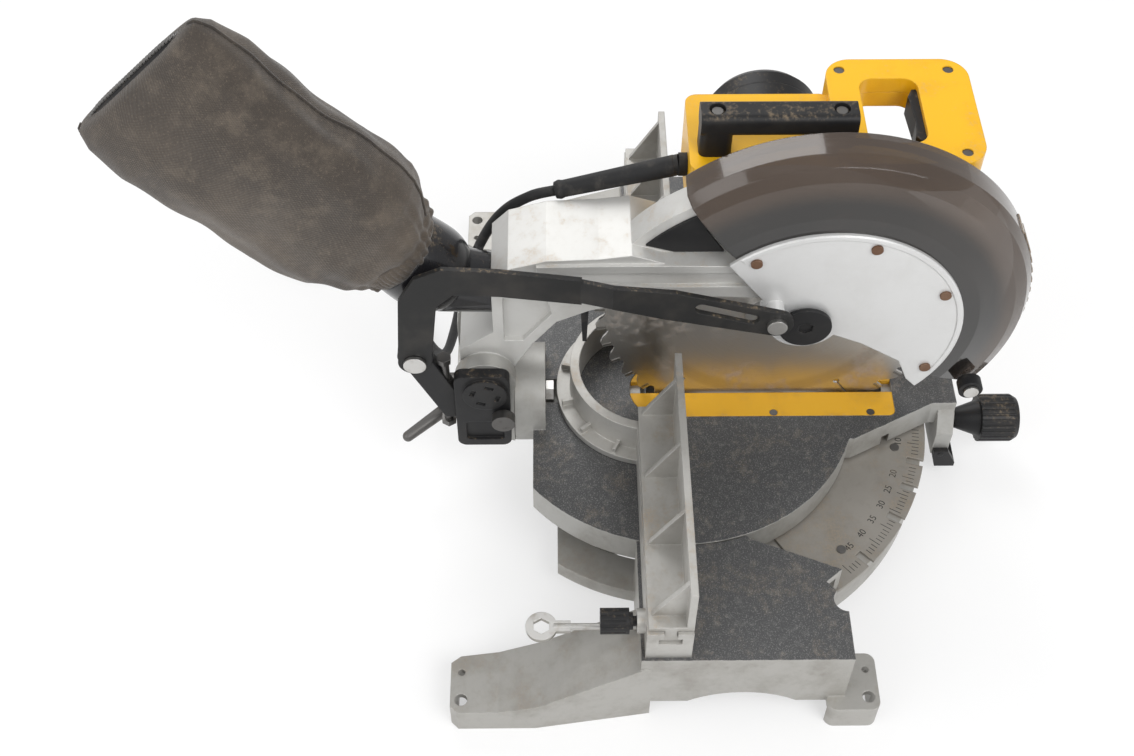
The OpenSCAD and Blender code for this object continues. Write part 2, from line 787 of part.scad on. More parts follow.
module gear_case() {
  color("darkgray") saw() difference() {
    union() {
      plate_x(11, 38) {
        translate([arbor_y, arbor_z]) circle(42);
        polygon([[arbor_y - 41, arbor_z - 4], [arbor_y + 41, arbor_z - 4],
          [arbor_y + motor_r + 3, motor_z - 8],
          [arbor_y - motor_r - 3, motor_z - 8]]);
      }
      rod_x(motor_r * 2 + 8, 11, 44, arbor_y, motor_z);
    }
    rod_x(25 + run_gap, 10, 37, arbor_y, arbor_z);
    rod_y(14.2, arbor_y - 60, arbor_y - 30, 25, arbor_z - 2);
  }
}

module motor_housing() {
  color([0.15, 0.15, 0.16]) saw() difference() {
    union() {
      rod_x(2 * motor_r, 44, motor_end - 28, arbor_y, motor_z);
      for (s = [-1, 1]) rod_y(30, arbor_y + min(0, s) * (motor_r + 6), arbor_y + max(0, s) * (motor_r + 6),
        motor_end - 55, motor_z);
    }
    for (s = [-1, 1]) rod_y(18, arbor_y + s * (motor_r + 2) - 5, arbor_y + s * (motor_r + 2) + 5,
      motor_end - 55, motor_z);
    for (a = [-40:20:40]) translate([0, arbor_y, motor_z]) rotate([a + 180, 0, 0])
      translate([60, motor_r - 3, -2]) cube([40, 6, 4]);
  }
}

module motor_end_cap() {
  x = motor_end - 28;
  color([0.1, 0.1, 0.1]) saw() difference() {
    turn_x(arbor_y, motor_z, 0, 360)
      polygon([[0, x], [motor_r, x], [motor_r, x + 14], [motor_r - 5, x + 22], [motor_r - 14, x + 27],
        [0, x + 28]]);
    for (a = [0:30:330]) translate([0, arbor_y, motor_z]) rotate([a, 0, 0])
      translate([x + 20, 18, -2]) cube([10, 20, 4]);
  }
}

module brush_caps() {
  color("black") saw() for (s = [-1, 1]) difference() {
    rod_y(18, arbor_y + s * (motor_r + 4.5) - 7.5, arbor_y + s * (motor_r + 4.5) + 7.5,
      motor_end - 55, motor_z);
    translate([motor_end - 64, arbor_y + s * (motor_r + 12) - 2, motor_z - 1.5]) cube([18, 4, 3]);
  }
}

// Plan of the D-shaped handle.
module handle_plan() {
  difference() {
    round_rect(handle_x0, handle_y1, handle_x1, handle_y0, 22);
    round_rect(handle_x0 + leg_w, handle_y1 + grip_w, handle_x1 - leg_w, handle_y0 - leg_w - 2, 12);
  }
}

module trigger_room() {
  translate([handle_x0 + leg_w + 7, handle_y1 + grip_w - 20, handle_z - handle_t + 5])
    cube([handle_x1 - handle_x0 - 2 * leg_w - 14, 30, handle_t - 10]);
}

module housing_plan() {
  round_rect(handle_x0 + 2, handle_y0 - 4, handle_x0 + 92, -2, 10);
}

module handle_lower() {
  part = handle_z - handle_t / 2;
  color("gold") saw() difference() {
    union() {
      slab(handle_z - handle_t, part) handle_plan();
      slab(motor_z + 40, part) housing_plan();
    }
    rod_x(2 * motor_r, 40, 300, arbor_y, motor_z);
    rod_x(2 * motor_r + 8, 0, 44, arbor_y, motor_z);
    trigger_room();
  }
}

module handle_upper() {
  part = handle_z - handle_t / 2;
  color("gold") saw() difference() {
    union() {
      slab(part, handle_z) handle_plan();
      slab(part, handle_z - 9) housing_plan();
    }
    trigger_room();
    // step for the front post of the carry handle
    slab(handle_z - 9, handle_z + 1) round_rect(35.8, -132.2, 60.2, -105.8, 6.2);
    for (p = handle_screws) rod_z(9, handle_z - 3, handle_z + 1, p.x, p.y);
    rod_z(9, handle_z - 12, handle_z, handle_x0 + 11, -30);
  }
}

module carry_handle() {
  z = handle_z - 9;
  color([0.12, 0.12, 0.12]) saw() difference() {
    union() {
      plate_y(-132, -9) round_rect(36, z + 20, 60, z + 40, 6);
      for (y = [-132, -35]) slab(z, z + 26) round_rect(36, y, 60, y + 26, 6);
    }
    for (y = [-119, -22]) rod_z(13, z + 36, z + 41, 48, y);
  }
}

module head_screws() {
  color("dimgray") saw() {
    for (y = [-119, -22]) rod_z(9, handle_z + 27, handle_z + 29, 48, y);
    for (p = handle_screws) rod_z(8.6, handle_z - 3, handle_z - 1, p.x, p.y);
    rod_z(8.6, handle_z - 12, handle_z - 10.4, handle_x0 + 11, -30);
  }
}

// Elbow from the arm to the dust bag.
module dust_chute() {
  color([0.08, 0.08, 0.08]) saw() {
    hull() {
      rod_y(50, 157.02, 162, 0, 240, $fn = 32);
      collar(-22, -4, collar_d - 8);
    }
    collar(-5, 20, collar_d);
    collar(2, 8, collar_d + 8);
  }
}

// A piece of the dust collar, measured along the bag's axis.
module collar(a, b, d) {
  translate([0, collar_y, collar_z]) rotate([bag_rise - 90, 0, 0]) translate([0, 0, a])
    cylinder(d = d, h = b - a, $fn = 48);
}

// The bag swells from its gathered neck and closes flat at the zip.
module dust_bag() {
  n = 28;
  at = [0, 10, 26, 60, 110, 170, 225, 256, 268, 270] * bag_len / 270;
  high = [0.46, 0.48, 0.62, 0.9, 0.98, 1, 1.03, 1.02, 0.96, 0.88] * bag_h / 2;
  wide = [0.82, 0.8, 0.86, 0.95, 1, 0.98, 0.86, 0.6, 0.34, 0.18] * bag_w / 2;
  rings = [for (i = [0:len(at) - 1]) [for (k = [0:n - 1])
    let (c = cos(360 * k / n), s = sin(360 * k / n))
    [wide[i] * sign(c) * pow(abs(c), 0.72), high[i] * sign(s) * pow(abs(s), 0.72), at[i]]]];
  color("saddlebrown") saw() translate([0, collar_y, collar_z]) rotate([bag_rise - 90, 0, 0])
    translate([0, 0, 20.02]) loft(rings, n);
}

// A closed skin over rings of n points each.
module loft(rings, n) {
  m = len(rings);
  pts = [for (r = rings) each r];
  polyhedron(pts, concat(
    [[for (k = [0:n - 1]) k]],
    [for (i = [0:m - 2], k = [0:n - 1]) each [
      [i * n + k, (i + 1) * n + k, (i + 1) * n + (k + 1) % n],
      [i * n + k, (i + 1) * n + (k + 1) % n, i * n + (k + 1) % n]]],
    [[for (k = [n - 1:-1:0]) (m - 1) * n + k]]));
}

module strain_relief() {
  color([0.1, 0.1, 0.1]) saw() {
    rod_y(19, -1.98, 5, 50, 325);
    translate([50, 4, 325]) rotate([-106, 0, 0]) cylinder(d1 = 17, d2 = 13.5, h = 104);
  }
}

module guard_stud() {
  color("silver") saw() {
    rod_x(12, -30.5, -15.2, gp_y, gp_z);
    rod_x(stud_d, -40, -30.02, gp_y, gp_z);
  }
}

module guard_cap() {
  color("black") saw() difference() {
    rod_x(cap_d, -43.5, -40.02, gp_y, gp_z);
    translate([-44, gp_y, gp_z]) rotate([0, 90, 0]) cylinder(d = 13, h = 2.5, $fn = 6);
  }
}

// Rubber flap behind the blade that turns the chips into the chute.
module chip_deflector() {
  color([0.1, 0.1, 0.1]) saw() plate_x(-20, 20)
    polygon([[77, 233.98], [84, 230.35], [82, 186], [78.5, 186]]);
}

module trigger() {
  x0 = handle_x0 + leg_w + 7.5;
  x1 = handle_x1 - leg_w - 7.5;
  y = handle_y1 + grip_w;
  color("black") saw() slab(handle_z - handle_t + 5.5, handle_z - 5.5)
    polygon([[x0, y - 13], [x1, y - 13], [x1, y + 4], [x1 - 8, y + 8], [x0 + 22, y + 6], [x0 + 6, y + 8],
      [x0, y + 4]]);
}

module spindle() {
  color("dimgray") saw() difference() {
    union() {
      rod_x(bore_d, -7, 2, arbor_y, arbor_z);
      rod_x(flange_d, blade_t / 2, 7.5, arbor_y, arbor_z);
      rod_x(25, 7, 36.5, arbor_y, arbor_z);
    }
    rod_x(10.2, -8, 18, arbor_y, arbor_z);
  }
}

// One tooth of the blade: the gullet in front of a raked face.
module gullet() {
  step = 360 / teeth;
  r = blade_r;
  polygon([[r * cos(-step * 0.06) - 0.6, r * sin(-step * 0.06)], [r - 8.5, -1.5], [r - 9.5, -5], [r - 7, -9],
    [r * cos(step * 0.5) - 3.5, r * sin(-step * 0.5)],
    [(r + 2) * cos(step * 0.9), (r + 2) * sin(-step * 0.9)],
    [r + 4, 0]]);
}

module saw_blade() {
  color("lightgray") saw() translate([0, arbor_y, arbor_z]) plate_x(-blade_t / 2, blade_t / 2) difference() {
    circle(blade_r, $fn = 160);
    circle(d = bore_d + 0.1);
    for (i = [0:teeth - 1]) rotate(i * 360 / teeth) gullet();
    for (a = [20:72:308]) rotate(a) {
      translate([blade_r - 34, -0.8]) square([40, 1.6]);
      translate([blade_r - 34, 0]) circle(3, $fn = 24);
    }
  }
}

module outer_flange() {
  color("silver") saw() difference() {
    rod_x(flange_d, -8, -blade_t / 2, arbor_y, arbor_z);
    rod_x(bore_d + 0.1, -9, 0, arbor_y, arbor_z);
  }
}

module arbor_bolt() {
  color("dimgray") saw() {
    rod_x(30, -10, -8, arbor_y, arbor_z);
    rod_x(10, -9, 15, arbor_y, arbor_z);
    translate([-18, arbor_y, arbor_z]) rotate([0, 90, 0]) cylinder(d = 19, h = 8.1, $fn = 6);
  }
}

// Clear guard: one section turned about the guard's own centre, with grip ribs on its leading rim.
module lower_guard() {
  color([0.35, 0.33, 0.3, 0.6]) saw() difference() {
    union() {
      turn_x(gc_y, gc_z, 48, 211) polygon([[side_r - 20, -34], [side_r, -34], [130, -33], [160, -24],
        [170, -18],
        [guard_r, -8], [guard_r, 14.5], [165, 14.5], [165, 11.8], [guard_r - guard_wall, 11.8],
        [guard_r - guard_wall, -7], [167.5, -15.2], [158, -21], [130, -30], [side_r - 20, -31]]);
      for (a = [150:4:206]) turn_x(gc_y, gc_z, a, a + 1.5) polygon([[guard_r - 1, -7], [guard_r + 1.4, -6],
        [guard_r + 1.4, 12], [guard_r - 1, 13.5]]);
    }
    for (a = rivet_angles) translate([0, gc_y, gc_z]) rotate([a, 0, 0]) rod_x(6, -40, -28, side_r - 11, 0);
    rod_x(8, -40, 0, roller_y, roller_z);
  }
}

// Metal side plate that carries the clear guard on the pivot stud.
module guard_plate() {
  color("silver") saw() difference() {
    union() {
      plate_x(-37, -34.02) {
        intersection() {
          translate([gc_y, gc_z]) circle(side_r, $fn = 128);
          polygon([[-28, 304], [-62, 258], [-78, 236], [-100, 206], [-124, 214], [-150, 202], [-186, 178],
            [-196, 154], [-216, 132], [-260, 140], [-260, 360], [-28, 360]]);
        }
        translate([gp_y, gp_z]) circle(30);
        translate([pin_y, pin_z]) circle(12);
      }
      rod_x(15, -51.6, -36, pin_y, pin_z);
      // raised rim of the plate
      turn_x(gc_y, gc_z, 50, 207) polygon([[side_r - 5, -37.8], [side_r - 1, -37.8], [side_r, -36.5],
        [side_r - 6, -36.5]]);
    }
    rod_x(stud_d + run_gap, -40, -30, gp_y, gp_z);
    for (a = rivet_angles) translate([0, gc_y, gc_z]) rotate([a, 0, 0]) rod_x(6, -40, -28, side_r - 11, 0);
  }
}

module guard_rivets() {
  color("silver") saw() for (a = rivet_angles) translate([0, gc_y, gc_z]) rotate([a, 0, 0]) {
    rod_x(5.96, -37, -31, side_r - 11, 0);
    rod_x(9.4, -39, -37.02, side_r - 11, 0);
  }
}

module guard_roller() {
  color([0.08, 0.08, 0.08]) saw() difference() {
    rod_x(21, -38.7, -28.2, roller_y, roller_z);
    rod_x(8 + run_gap, -45, -20, roller_y, roller_z);
  }
}

module roller_pin() {
  color("silver") saw() {
    rod_x(8, -40, -19, roller_y, roller_z);
    rod_x(13, -41.5, -39.2, roller_y, roller_z);
  }
}

// Pressed link with a joggle that closes and opens the guard as the head moves.
module guard_link() {
  color("darkgray") saw() difference() {
    union() {
      plate_x(-50, -45.5) {
        translate([link_y, link_z]) circle(14);
        polygon([[link_y - 14, link_z], [link_y + 14, link_z], [link_y + 8, 272], [link_y - 6, 298],
          [link_y - 28, 309], [150, 306], [84, 296], [84, 268], [150, 278], [link_y - 36, 280],
          [link_y - 22, 266]]);
      }
      slab(270, 294) polygon([[-50, 85], [-45.5, 85], [-52.5, 59], [-57, 59]]);
      plate_x(-57, -52.5) {
        polygon([[60, 294], [60, 270], [20, 258], [pin_y + 4, pin_z - 13], [pin_y - 2, pin_z + 13.5],
          [10, 288]]);
        translate([pin_y, pin_z]) circle(13.5);
      }
    }
    rod_x(12 + run_gap, -60, -40, link_y, link_z);
    plate_x(-60, -50) {
      translate([pin_y + 62, pin_z + 20]) circle(5.5);
      translate([pin_y + 20, pin_z + 6.5]) circle(5.5);
      polygon([[pin_y + 21.6, pin_z + 1.2], [pin_y + 63.6, pin_z + 14.7], [pin_y + 60.4, pin_z + 25.3],
        [pin_y + 18.4, pin_z + 11.8]]);
    }
    rod_x(9, -60, -50, pin_y, pin_z);
  }
}

module link_pin() {
  color("silver") saw() {
    rod_x(9, -58, -52, pin_y, pin_z);
    rod_x(16, -61, -57.02, pin_y, pin_z);
  }
}

module lock_pin() {
  color("dimgray") saw() {
    rod_x(10, -60, -barrel_w / 2 - 0.8, pivot_y - 15, pivot_z - 28);
    rod_x(20, -66, -57.5, pivot_y - 15, pivot_z - 28);
  }
}

module spindle_lock() {
  color("black") saw() {
    rod_y(14, arbor_y - 52, arbor_y - 36, 25, arbor_z - 2);
    rod_y(18, arbor_y - 56, arbor_y - 51.9, 25, arbor_z - 2);
  }
}

function unit(v) = v / norm(v);

// Points of a smooth curve through the given points.
function smooth(p, n) = [for (i = [0:len(p) - 2]) each
  let (a = p[max(0, i - 1)], b = p[i], c = p[i + 1], d = p[min(len(p) - 1, i + 2)])
  [for (k = [0:n - (i == len(p) - 2 ? 0 : 1)]) let (t = k / n)
    0.5 * (2 * b + (c - a) * t + (2 * a - 5 * b + 4 * c - d) * t * t + (3 * b - a - 3 * c + d) * t * t * t)]];

// Rings of a tube along a path; the side vector never lines up with the path.
function tube(p, d, n, side) = [for (i = [0:len(p) - 1])
  let (t = unit(p[min(i + 1, len(p) - 1)] - p[max(i - 1, 0)]), s = unit(cross(t, side)), u = cross(t, s))
  [for (k = [0:n - 1]) p[i] + d / 2 * (cos(360 * k / n) * s + sin(360 * k / n) * u)]];

function path_length(p) = len(p) < 2 ? 0 : [for (i = 0, s = 0; i < len(p); i = i + 1,
  s = s + (i < len(p) ? norm(p[i] - p[i - 1]) : 0)) s][len(p) - 1];

lead_path = smooth([[50, 104.4, 296.1], [50, 126, 289], [53, 150, 266], [58, 170, 222], [64, 186, 160],
  [72, 198, 95], [86, 210, 42], [112, 224, 15], [152, 242, 6], [205, 266, 5.2], [250, 277, 5],
  [coil_x, coil_y - coil_out, 4.8]], 3);

// Two flat layers: inwards on the floor, up while the turn draws in, and outwards again to the plug.
function coil_r(a) = a < 1260 ? coil_out - coil_pitch * a / 360
  : a < 1320 ? coil_in + 5 - (5 + coil_pitch / 6) * (1 - cos(3 * (a - 1260))) / 2
  : coil_in + coil_pitch * (a - 1380) / 360;

function coil_z(a) = 4.8 + (a < 1260 ? 0 : a > 1380 ? 1 : (1 - cos(1.5 * (a - 1260))) / 2) * (cord_d + 0.7);

coil_path = concat([for (a = [0:15:2610])
  [coil_x + coil_r(a) * sin(a), coil_y - coil_r(a) * cos(a), coil_z(a)]],
  [for (k = [1:3]) [coil_x + coil_r(2610) + 0.5 * k, coil_y + 15 * k, coil_z(2610)]]);

coil_gap = min([for (i = [0:len(coil_path) - 1], j = [0:len(coil_path) - 1])
  if (j > i + 12) norm(coil_path[i] - coil_path[j])]) - cord_d;

module cord_lead() {
  color([0.1, 0.1, 0.1]) saw() loft(tube(lead_path, cord_d, 10, [0.65, -0.6, 0.47]), 10);
}

module cord_coil() {
  echo(coil_gap = coil_gap, cord_length = path_length(lead_path) + path_length(coil_path));
  color([0.1, 0.1, 0.1]) saw() loft(tube(coil_path, cord_d, 6, [0, 0, 1]), 6);
}

module cord_plug() {
  x = coil_x + coil_r(2610) + 1.5;
  y = coil_y + 45.02;
  z = 16;
  color([0.12, 0.12, 0.12]) saw() {
    translate([x, y, z]) rotate([-90, 0, 0]) cylinder(d1 = 12, d2 = 16, h = 22);
    translate([x, y + 21.9, z]) rotate([-90, 0, 0]) cylinder(d1 = 24, d2 = 31, h = 14);
    rod_y(31, y + 35.8, y + 58, x, z);
    for (s = [-1, 1]) translate([x + s * 6.35 - 0.75, y + 57.9, z - 1.2]) cube([1.5, 18, 6.4]);
    rod_y(4.8, y + 57.9, y + 77, x, z - 7);
  }
}

base_casting();
scale_plate();
scale_screws();
fixed_fence();
fence_bolts();
blade_wrench();
sliding_fence();
fence_knob();
mitre_table();
kerf_plates();
kerf_screws();
mitre_pivot_bolt();
mitre_pointer();
mitre_lock_knob();
mitre_lock_rod();
mitre_latch();
bevel_support();
chop_shaft();
pivot_cover();
link_bracket();
link_stud();
stop_bolts();
bevel_lever();
bevel_clamp_bolt();
arm_casting();
arm_panel();
gear_case();
motor_housing();
motor_end_cap();
brush_caps();
handle_lower();
handle_upper();
carry_handle();
head_screws();
dust_chute();
dust_bag();
strain_relief();
guard_stud();
guard_cap();
chip_deflector();
trigger();
spindle();
saw_blade();
outer_flange();
arbor_bolt();
lower_guard();
guard_plate();
guard_rivets();
guard_roller();
roller_pin();
guard_link();
link_pin();
lock_pin();
spindle_lock();
cord_lead();
cord_coil();
cord_plug();
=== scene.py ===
"""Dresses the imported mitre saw: finishes for every solid, and the cloth, cord, scale and trim."""
import json
import math

import bpy
import numpy as np
from mathutils import Matrix, Vector


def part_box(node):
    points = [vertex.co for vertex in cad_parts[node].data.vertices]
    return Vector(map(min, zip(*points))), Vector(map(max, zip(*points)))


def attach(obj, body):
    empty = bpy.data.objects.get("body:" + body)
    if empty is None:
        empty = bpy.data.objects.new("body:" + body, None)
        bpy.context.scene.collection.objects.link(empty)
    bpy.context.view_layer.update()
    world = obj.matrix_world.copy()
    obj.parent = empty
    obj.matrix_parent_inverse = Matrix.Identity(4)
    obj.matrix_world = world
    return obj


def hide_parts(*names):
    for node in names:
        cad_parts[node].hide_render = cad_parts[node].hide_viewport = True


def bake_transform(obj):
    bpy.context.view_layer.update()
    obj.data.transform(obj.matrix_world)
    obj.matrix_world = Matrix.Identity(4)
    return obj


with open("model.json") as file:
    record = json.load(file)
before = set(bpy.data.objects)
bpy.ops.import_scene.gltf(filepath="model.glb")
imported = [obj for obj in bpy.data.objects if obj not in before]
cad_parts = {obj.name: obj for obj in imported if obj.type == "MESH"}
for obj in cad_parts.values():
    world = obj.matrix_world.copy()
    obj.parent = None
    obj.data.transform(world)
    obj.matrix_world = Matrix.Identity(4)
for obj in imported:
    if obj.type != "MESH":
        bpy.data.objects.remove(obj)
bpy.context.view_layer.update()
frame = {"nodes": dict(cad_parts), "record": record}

bl_info = {
    "name": "Mitre saw dressing",
    "version": (1, 0, 0),
    "blender": (4, 5, 0),
    "location": "View3D > Sidebar > Mitre saw",
    "description": "Finishes, cloth, cord and scale of a compound mitre saw",
    "category": "Object",
}

# Places and sizes are in metres, in the row frame.
MM = 0.001
SIDE = np.array([1.0, 0, 0])  # across the saw, along the arbor
MITRE_Y = -0.016  # the mitre axis
DECK = 0.092  # height of the table and of the decks
GUARD_R = 0.1755  # outer radius of the lower guard
GUARD_CENTRE = (0.0, -0.131, 0.2165)

WHITE = (1, 1, 1, 1)
DUST = (0.50, 0.37, 0.23, 1)
BARE_DECK = (0.34, 0.335, 0.325, 1)
RUST = (0.34, 0.20, 0.10, 1)
RESIN = (0.20, 0.18, 0.15, 1)
LINT = (0.30, 0.24, 0.18, 1)


# Shader maths.


class Value:
    """A socket of a tree; arithmetic on it adds Math nodes."""

    def __init__(self, tree, socket):
        self.tree, self.socket = tree, socket

    def math(self, operation, *terms):
        return self.tree.node("ShaderNodeMath", {"operation": operation}, dict(enumerate(terms)))

    def __add__(self, other):
        return self.math("ADD", self, other)

    def __radd__(self, other):
        return self.math("ADD", other, self)

    def __sub__(self, other):
        return self.math("SUBTRACT", self, other)

    def __rsub__(self, other):
        return self.math("SUBTRACT", other, self)

    def __mul__(self, other):
        return self.math("MULTIPLY", self, other)

    def __rmul__(self, other):
        return self.math("MULTIPLY", other, self)

    def sine(self):
        return self.math("SINE", self)

    def between(self, low, high):
        """0 below low, 1 above high, smooth in between."""
        return self.tree.node(
            "ShaderNodeMapRange",
            {"interpolation_type": "SMOOTHSTEP"},
            {"Value": self, "From Min": low, "From Max": high},
        )


class Tree:
    """A node tree that Values belong to."""

    def __init__(self, tree):
        self.tree = tree

    def feed(self, socket, value):
        """Links a Value to the socket, or sets the socket to a plain value."""
        if isinstance(value, Value):
            self.tree.links.new(value.socket, socket)
        else:
            socket.default_value = value

    def node(self, kind, settings, sockets, out=0):
        """Adds a node: its settings first, then the values or links of its sockets."""
        made = self.tree.nodes.new(kind)
        for key, value in settings.items():
            setattr(made, key, value)
        for key, value in sockets.items():
            self.feed(made.inputs[key], value)
        return Value(self, made.outputs[out])


class Finish(Tree):
    """One material, with its main shader and its Object coordinates."""

    def __init__(self, name):
        self.material = bpy.data.materials.new(name)
        self.material.use_nodes = True
        super().__init__(self.material.node_tree)
        self.shader = next(n for n in self.tree.nodes if n.type == "BSDF_PRINCIPLED")
        self.coords = self.node("ShaderNodeTexCoord", {}, {}, "Object")

    def set(self, **values):
        """Feeds the main shader's sockets, named with _ for a space."""
        for key, value in values.items():
            self.feed(self.shader.inputs[key.replace("_", " ")], value)

    def noise(self, scale, detail=3.0, rough=0.55, stretch=None):
        vector = self.coords
        if stretch:
            vector = self.node("ShaderNodeMapping", {}, {"Vector": vector, "Scale": stretch})
        return self.node(
            "ShaderNodeTexNoise",
            {},
            {"Vector": vector, "Scale": scale, "Detail": detail, "Roughness": rough},
        )

    def blend(self, factor, a, b):
        """Colour a where factor is 0, b where it is 1."""
        return self.node("ShaderNodeMix", {"data_type": "RGBA"}, {0: factor, 6: a, 7: b}, 2)

    def part(self, vector, axis):
        return self.node("ShaderNodeSeparateXYZ", {}, {0: vector}, axis)

    def distance(self, place, axes=(1, 1, 1)):
        """Distance from the place, along the axes that are marked 1."""
        back = [-c for c in place]
        local = self.node(
            "ShaderNodeMapping", {}, {"Vector": self.coords, "Location": back, "Scale": axes}
        )
        return self.node("ShaderNodeVectorMath", {"operation": "LENGTH"}, {0: local}, "Value")

    def rounded(self, radius):
        return self.node("ShaderNodeBevel", {"samples": 4}, {"Radius": radius})

    def normal(self, kind):
        return self.node("ShaderNodeNewGeometry", {}, {}, kind)

    def edge(self, rounded):
        """How far the rounded normal leans from the flat one: worn edges."""
        pair = {0: rounded, 1: self.normal("Normal")}
        dot = self.node("ShaderNodeVectorMath", {"operation": "DOT_PRODUCT"}, pair, "Value")
        return (1.0 - dot).between(0.01, 0.16)

    def facing_up(self):
        return self.part(self.normal("Normal"), "Z").between(0.35, 0.9)

    def flat_up(self):
        return self.part(self.normal("True Normal"), "Z").between(0.9, 0.97)

    def bump(self, height, strength, distance, normal=None):
        sockets = {"Height": height, "Strength": strength, "Distance": distance}
        if normal:
            sockets["Normal"] = normal
        return self.node("ShaderNodeBump", {}, sockets)


# Finishes.


def rubbed(colour, gain, lift):
    """The paler colour of a worn edge."""
    return (*(min(1.0, c * gain + lift) for c in colour), 1)


def worked_metal(name, base, dark, metallic=0.6, rough=(0.35, 0.6), dust=0.35, soot=0.5, top=None):
    """Cast or painted metal: grain, stains, worn edges and dust; top colours the deck face."""
    f = Finish(name)
    fine, broad, spots = f.noise(1400.0), f.noise(22.0, 5.0, 0.65), f.noise(140.0, 4.0, 0.6)
    smooth = f.rounded(1.2 * MM)
    worn = f.edge(smooth) * spots.between(0.35, 0.6)
    stain = broad.between(0.42, 0.72) * soot + spots.between(0.5, 0.75) * (0.3 * soot)
    colour = f.blend(stain, (*base, 1), (*dark, 1))
    if top:
        bare = f.noise(900.0, 2.0, 0.6).between(0.52, 0.68) * 0.5 + spots.between(0.5, 0.72) * 0.18
        face = f.blend(bare, (*top, 1), BARE_DECK)
        height = f.part(f.coords, "Z")
        reached = height.between(DECK - 3 * MM, DECK - 2 * MM)
        passed = height.between(DECK + 1 * MM, DECK + 2 * MM)
        colour = f.blend(f.flat_up() * reached * (1.0 - passed), colour, face)
    colour = f.blend(worn * 0.7, colour, rubbed(base, 1.25, 0.06))
    grains = f.noise(620.0, 2.0, 0.6).between(0.44, 0.56) * 0.75 + 0.25
    powder = f.facing_up() * (broad * 0.6 + spots * 0.4).between(0.5, 0.62) * grains * dust
    f.set(
        Base_Color=f.blend(powder, colour, DUST),
        Metallic=(1.0 - powder) * metallic,
        Roughness=fine * (rough[1] - rough[0]) + rough[0] + powder * 0.25,
        Normal=f.bump(fine * 0.6 + spots * 0.4, 0.5, 0.12 * MM, smooth),
    )
    return f.material


def moulded(name, base, dark, rough=(0.38, 0.52), coat=0.0, dust=0.3):
    """Moulded plastic: spark texture, scuffs on the edges and a little dust."""
    f = Finish(name)
    fine, broad, scuff = f.noise(1800.0, 2.0), f.noise(30.0, 4.0), f.noise(260.0, 4.0, 0.7)
    smooth = f.rounded(1.6 * MM)
    worn = f.edge(smooth) * scuff.between(0.4, 0.65)
    colour = f.blend(broad.between(0.4, 0.75) * 0.55, (*base, 1), (*dark, 1))
    colour = f.blend(worn * 0.5, colour, rubbed(base, 1.2, 0.05))
    powder = f.facing_up() * (broad * 0.4 + scuff * 0.6).between(0.52, 0.7) * dust
    f.set(
        Base_Color=f.blend(powder, colour, DUST),
        Roughness=fine * (rough[1] - rough[0]) + rough[0] + powder * 0.2,
        Coat_Weight=coat,
        Specular_IOR_Level=0.3,
        Normal=f.bump(fine, 0.35, 0.08 * MM, smooth),
    )
    return f.material


def turned_steel(name, base, rough=(0.22, 0.42)):
    """Bright steel with fine lay lines, and grime in patches."""
    f = Finish(name)
    lay, broad = f.noise(60.0, 3.0, 0.5, stretch=(1.0, 40.0, 40.0)), f.noise(90.0, 4.0)
    grime = broad.between(0.5, 0.75)
    dirty = (base[0] * 0.5, base[1] * 0.46, base[2] * 0.4, 1)
    powder = f.facing_up() * broad.between(0.5, 0.7) * 0.1
    f.set(
        Base_Color=f.blend(powder, f.blend(grime * 0.5, (*base, 1), dirty), DUST),
        Metallic=1.0 - powder,
        Roughness=lay * (rough[1] - rough[0]) + rough[0] + grime * 0.12,
        Normal=f.bump(lay, 0.25, 0.05 * MM, f.rounded(0.6 * MM)),
    )
    return f.material


def ground_blade(name):
    """Ground blade steel: rings about the arbor, a rust bloom and a band of darker resin."""
    f = Finish(name)
    radius = f.distance([(a + b) / 2 for a, b in zip(*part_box("saw_blade"))])
    rings = f.node(
        "ShaderNodeTexNoise",
        {"noise_dimensions": "1D"},
        {"W": radius * 900.0, "Scale": 1.0, "Detail": 2.0},
    )
    broad, spots = f.noise(18.0, 5.0, 0.65), f.noise(160.0, 4.0)
    rust = broad.between(0.48, 0.72) * spots.between(0.35, 0.65)
    band = radius.between(0.098, 0.106) * (1.0 - radius.between(0.112, 0.118))
    colour = f.blend(rings * 0.3, (0.62, 0.61, 0.59, 1), (0.40, 0.39, 0.37, 1))
    colour = f.blend(rust * 0.6, colour, RUST)
    f.set(
        Base_Color=f.blend(band * 0.25, colour, RESIN),
        Metallic=1.0 - rust * 0.5,
        Roughness=rings * 0.15 + 0.3 + rust * 0.25,
        Normal=f.bump(rings, 0.2, 0.04 * MM),
    )
    return f.material


def smoked_guard(name):
    """Smoked clear plastic: glossy brown with scratches; the rim is a paler brown with painted light,
    and painted shade makes it almost black round the inner band.
    """
    f = Finish(name)
    radius = f.distance(GUARD_CENTRE, axes=(0, 1, 1))
    scratch = f.noise(26.0, 6.0, 0.7, stretch=(9.0, 1.0, 1.0))
    haze, fine = f.noise(5.0, 2.0), f.noise(1200.0, 2.0)
    # Painted light and shade by radius: the rim is a paler smoked brown, lightened as painted light,
    # and inside it the inner band is painted shade, almost black.
    rim = radius.between(GUARD_R * 0.80, GUARD_R * 0.90)
    ridge = radius.between(GUARD_R + 0.2 * MM, GUARD_R + 0.8 * MM)
    mist = haze.between(0.3, 0.75) * 0.45 + scratch.between(0.55, 0.75) * 0.25
    inner_shade = f.blend(mist, (0.008, 0.007, 0.006, 1), (0.030, 0.022, 0.017, 1))
    clear = f.blend(mist, (0.055, 0.038, 0.028, 1), (0.150, 0.108, 0.080, 1))
    f.set(
        Base_Color=f.blend(ridge * 0.8, f.blend(rim, inner_shade, clear), (0.30, 0.215, 0.13, 1)),
        Roughness=scratch.between(0.5, 0.8) * 0.16 + 0.10,
        Alpha=0.97 - rim * 0.17 + mist * 0.1,
        Coat_Weight=0.6,
        Normal=f.bump(scratch * 0.5 + fine * 0.2, 0.05, 0.1 * MM, f.rounded(1.5 * MM)),
    )
    return f.material


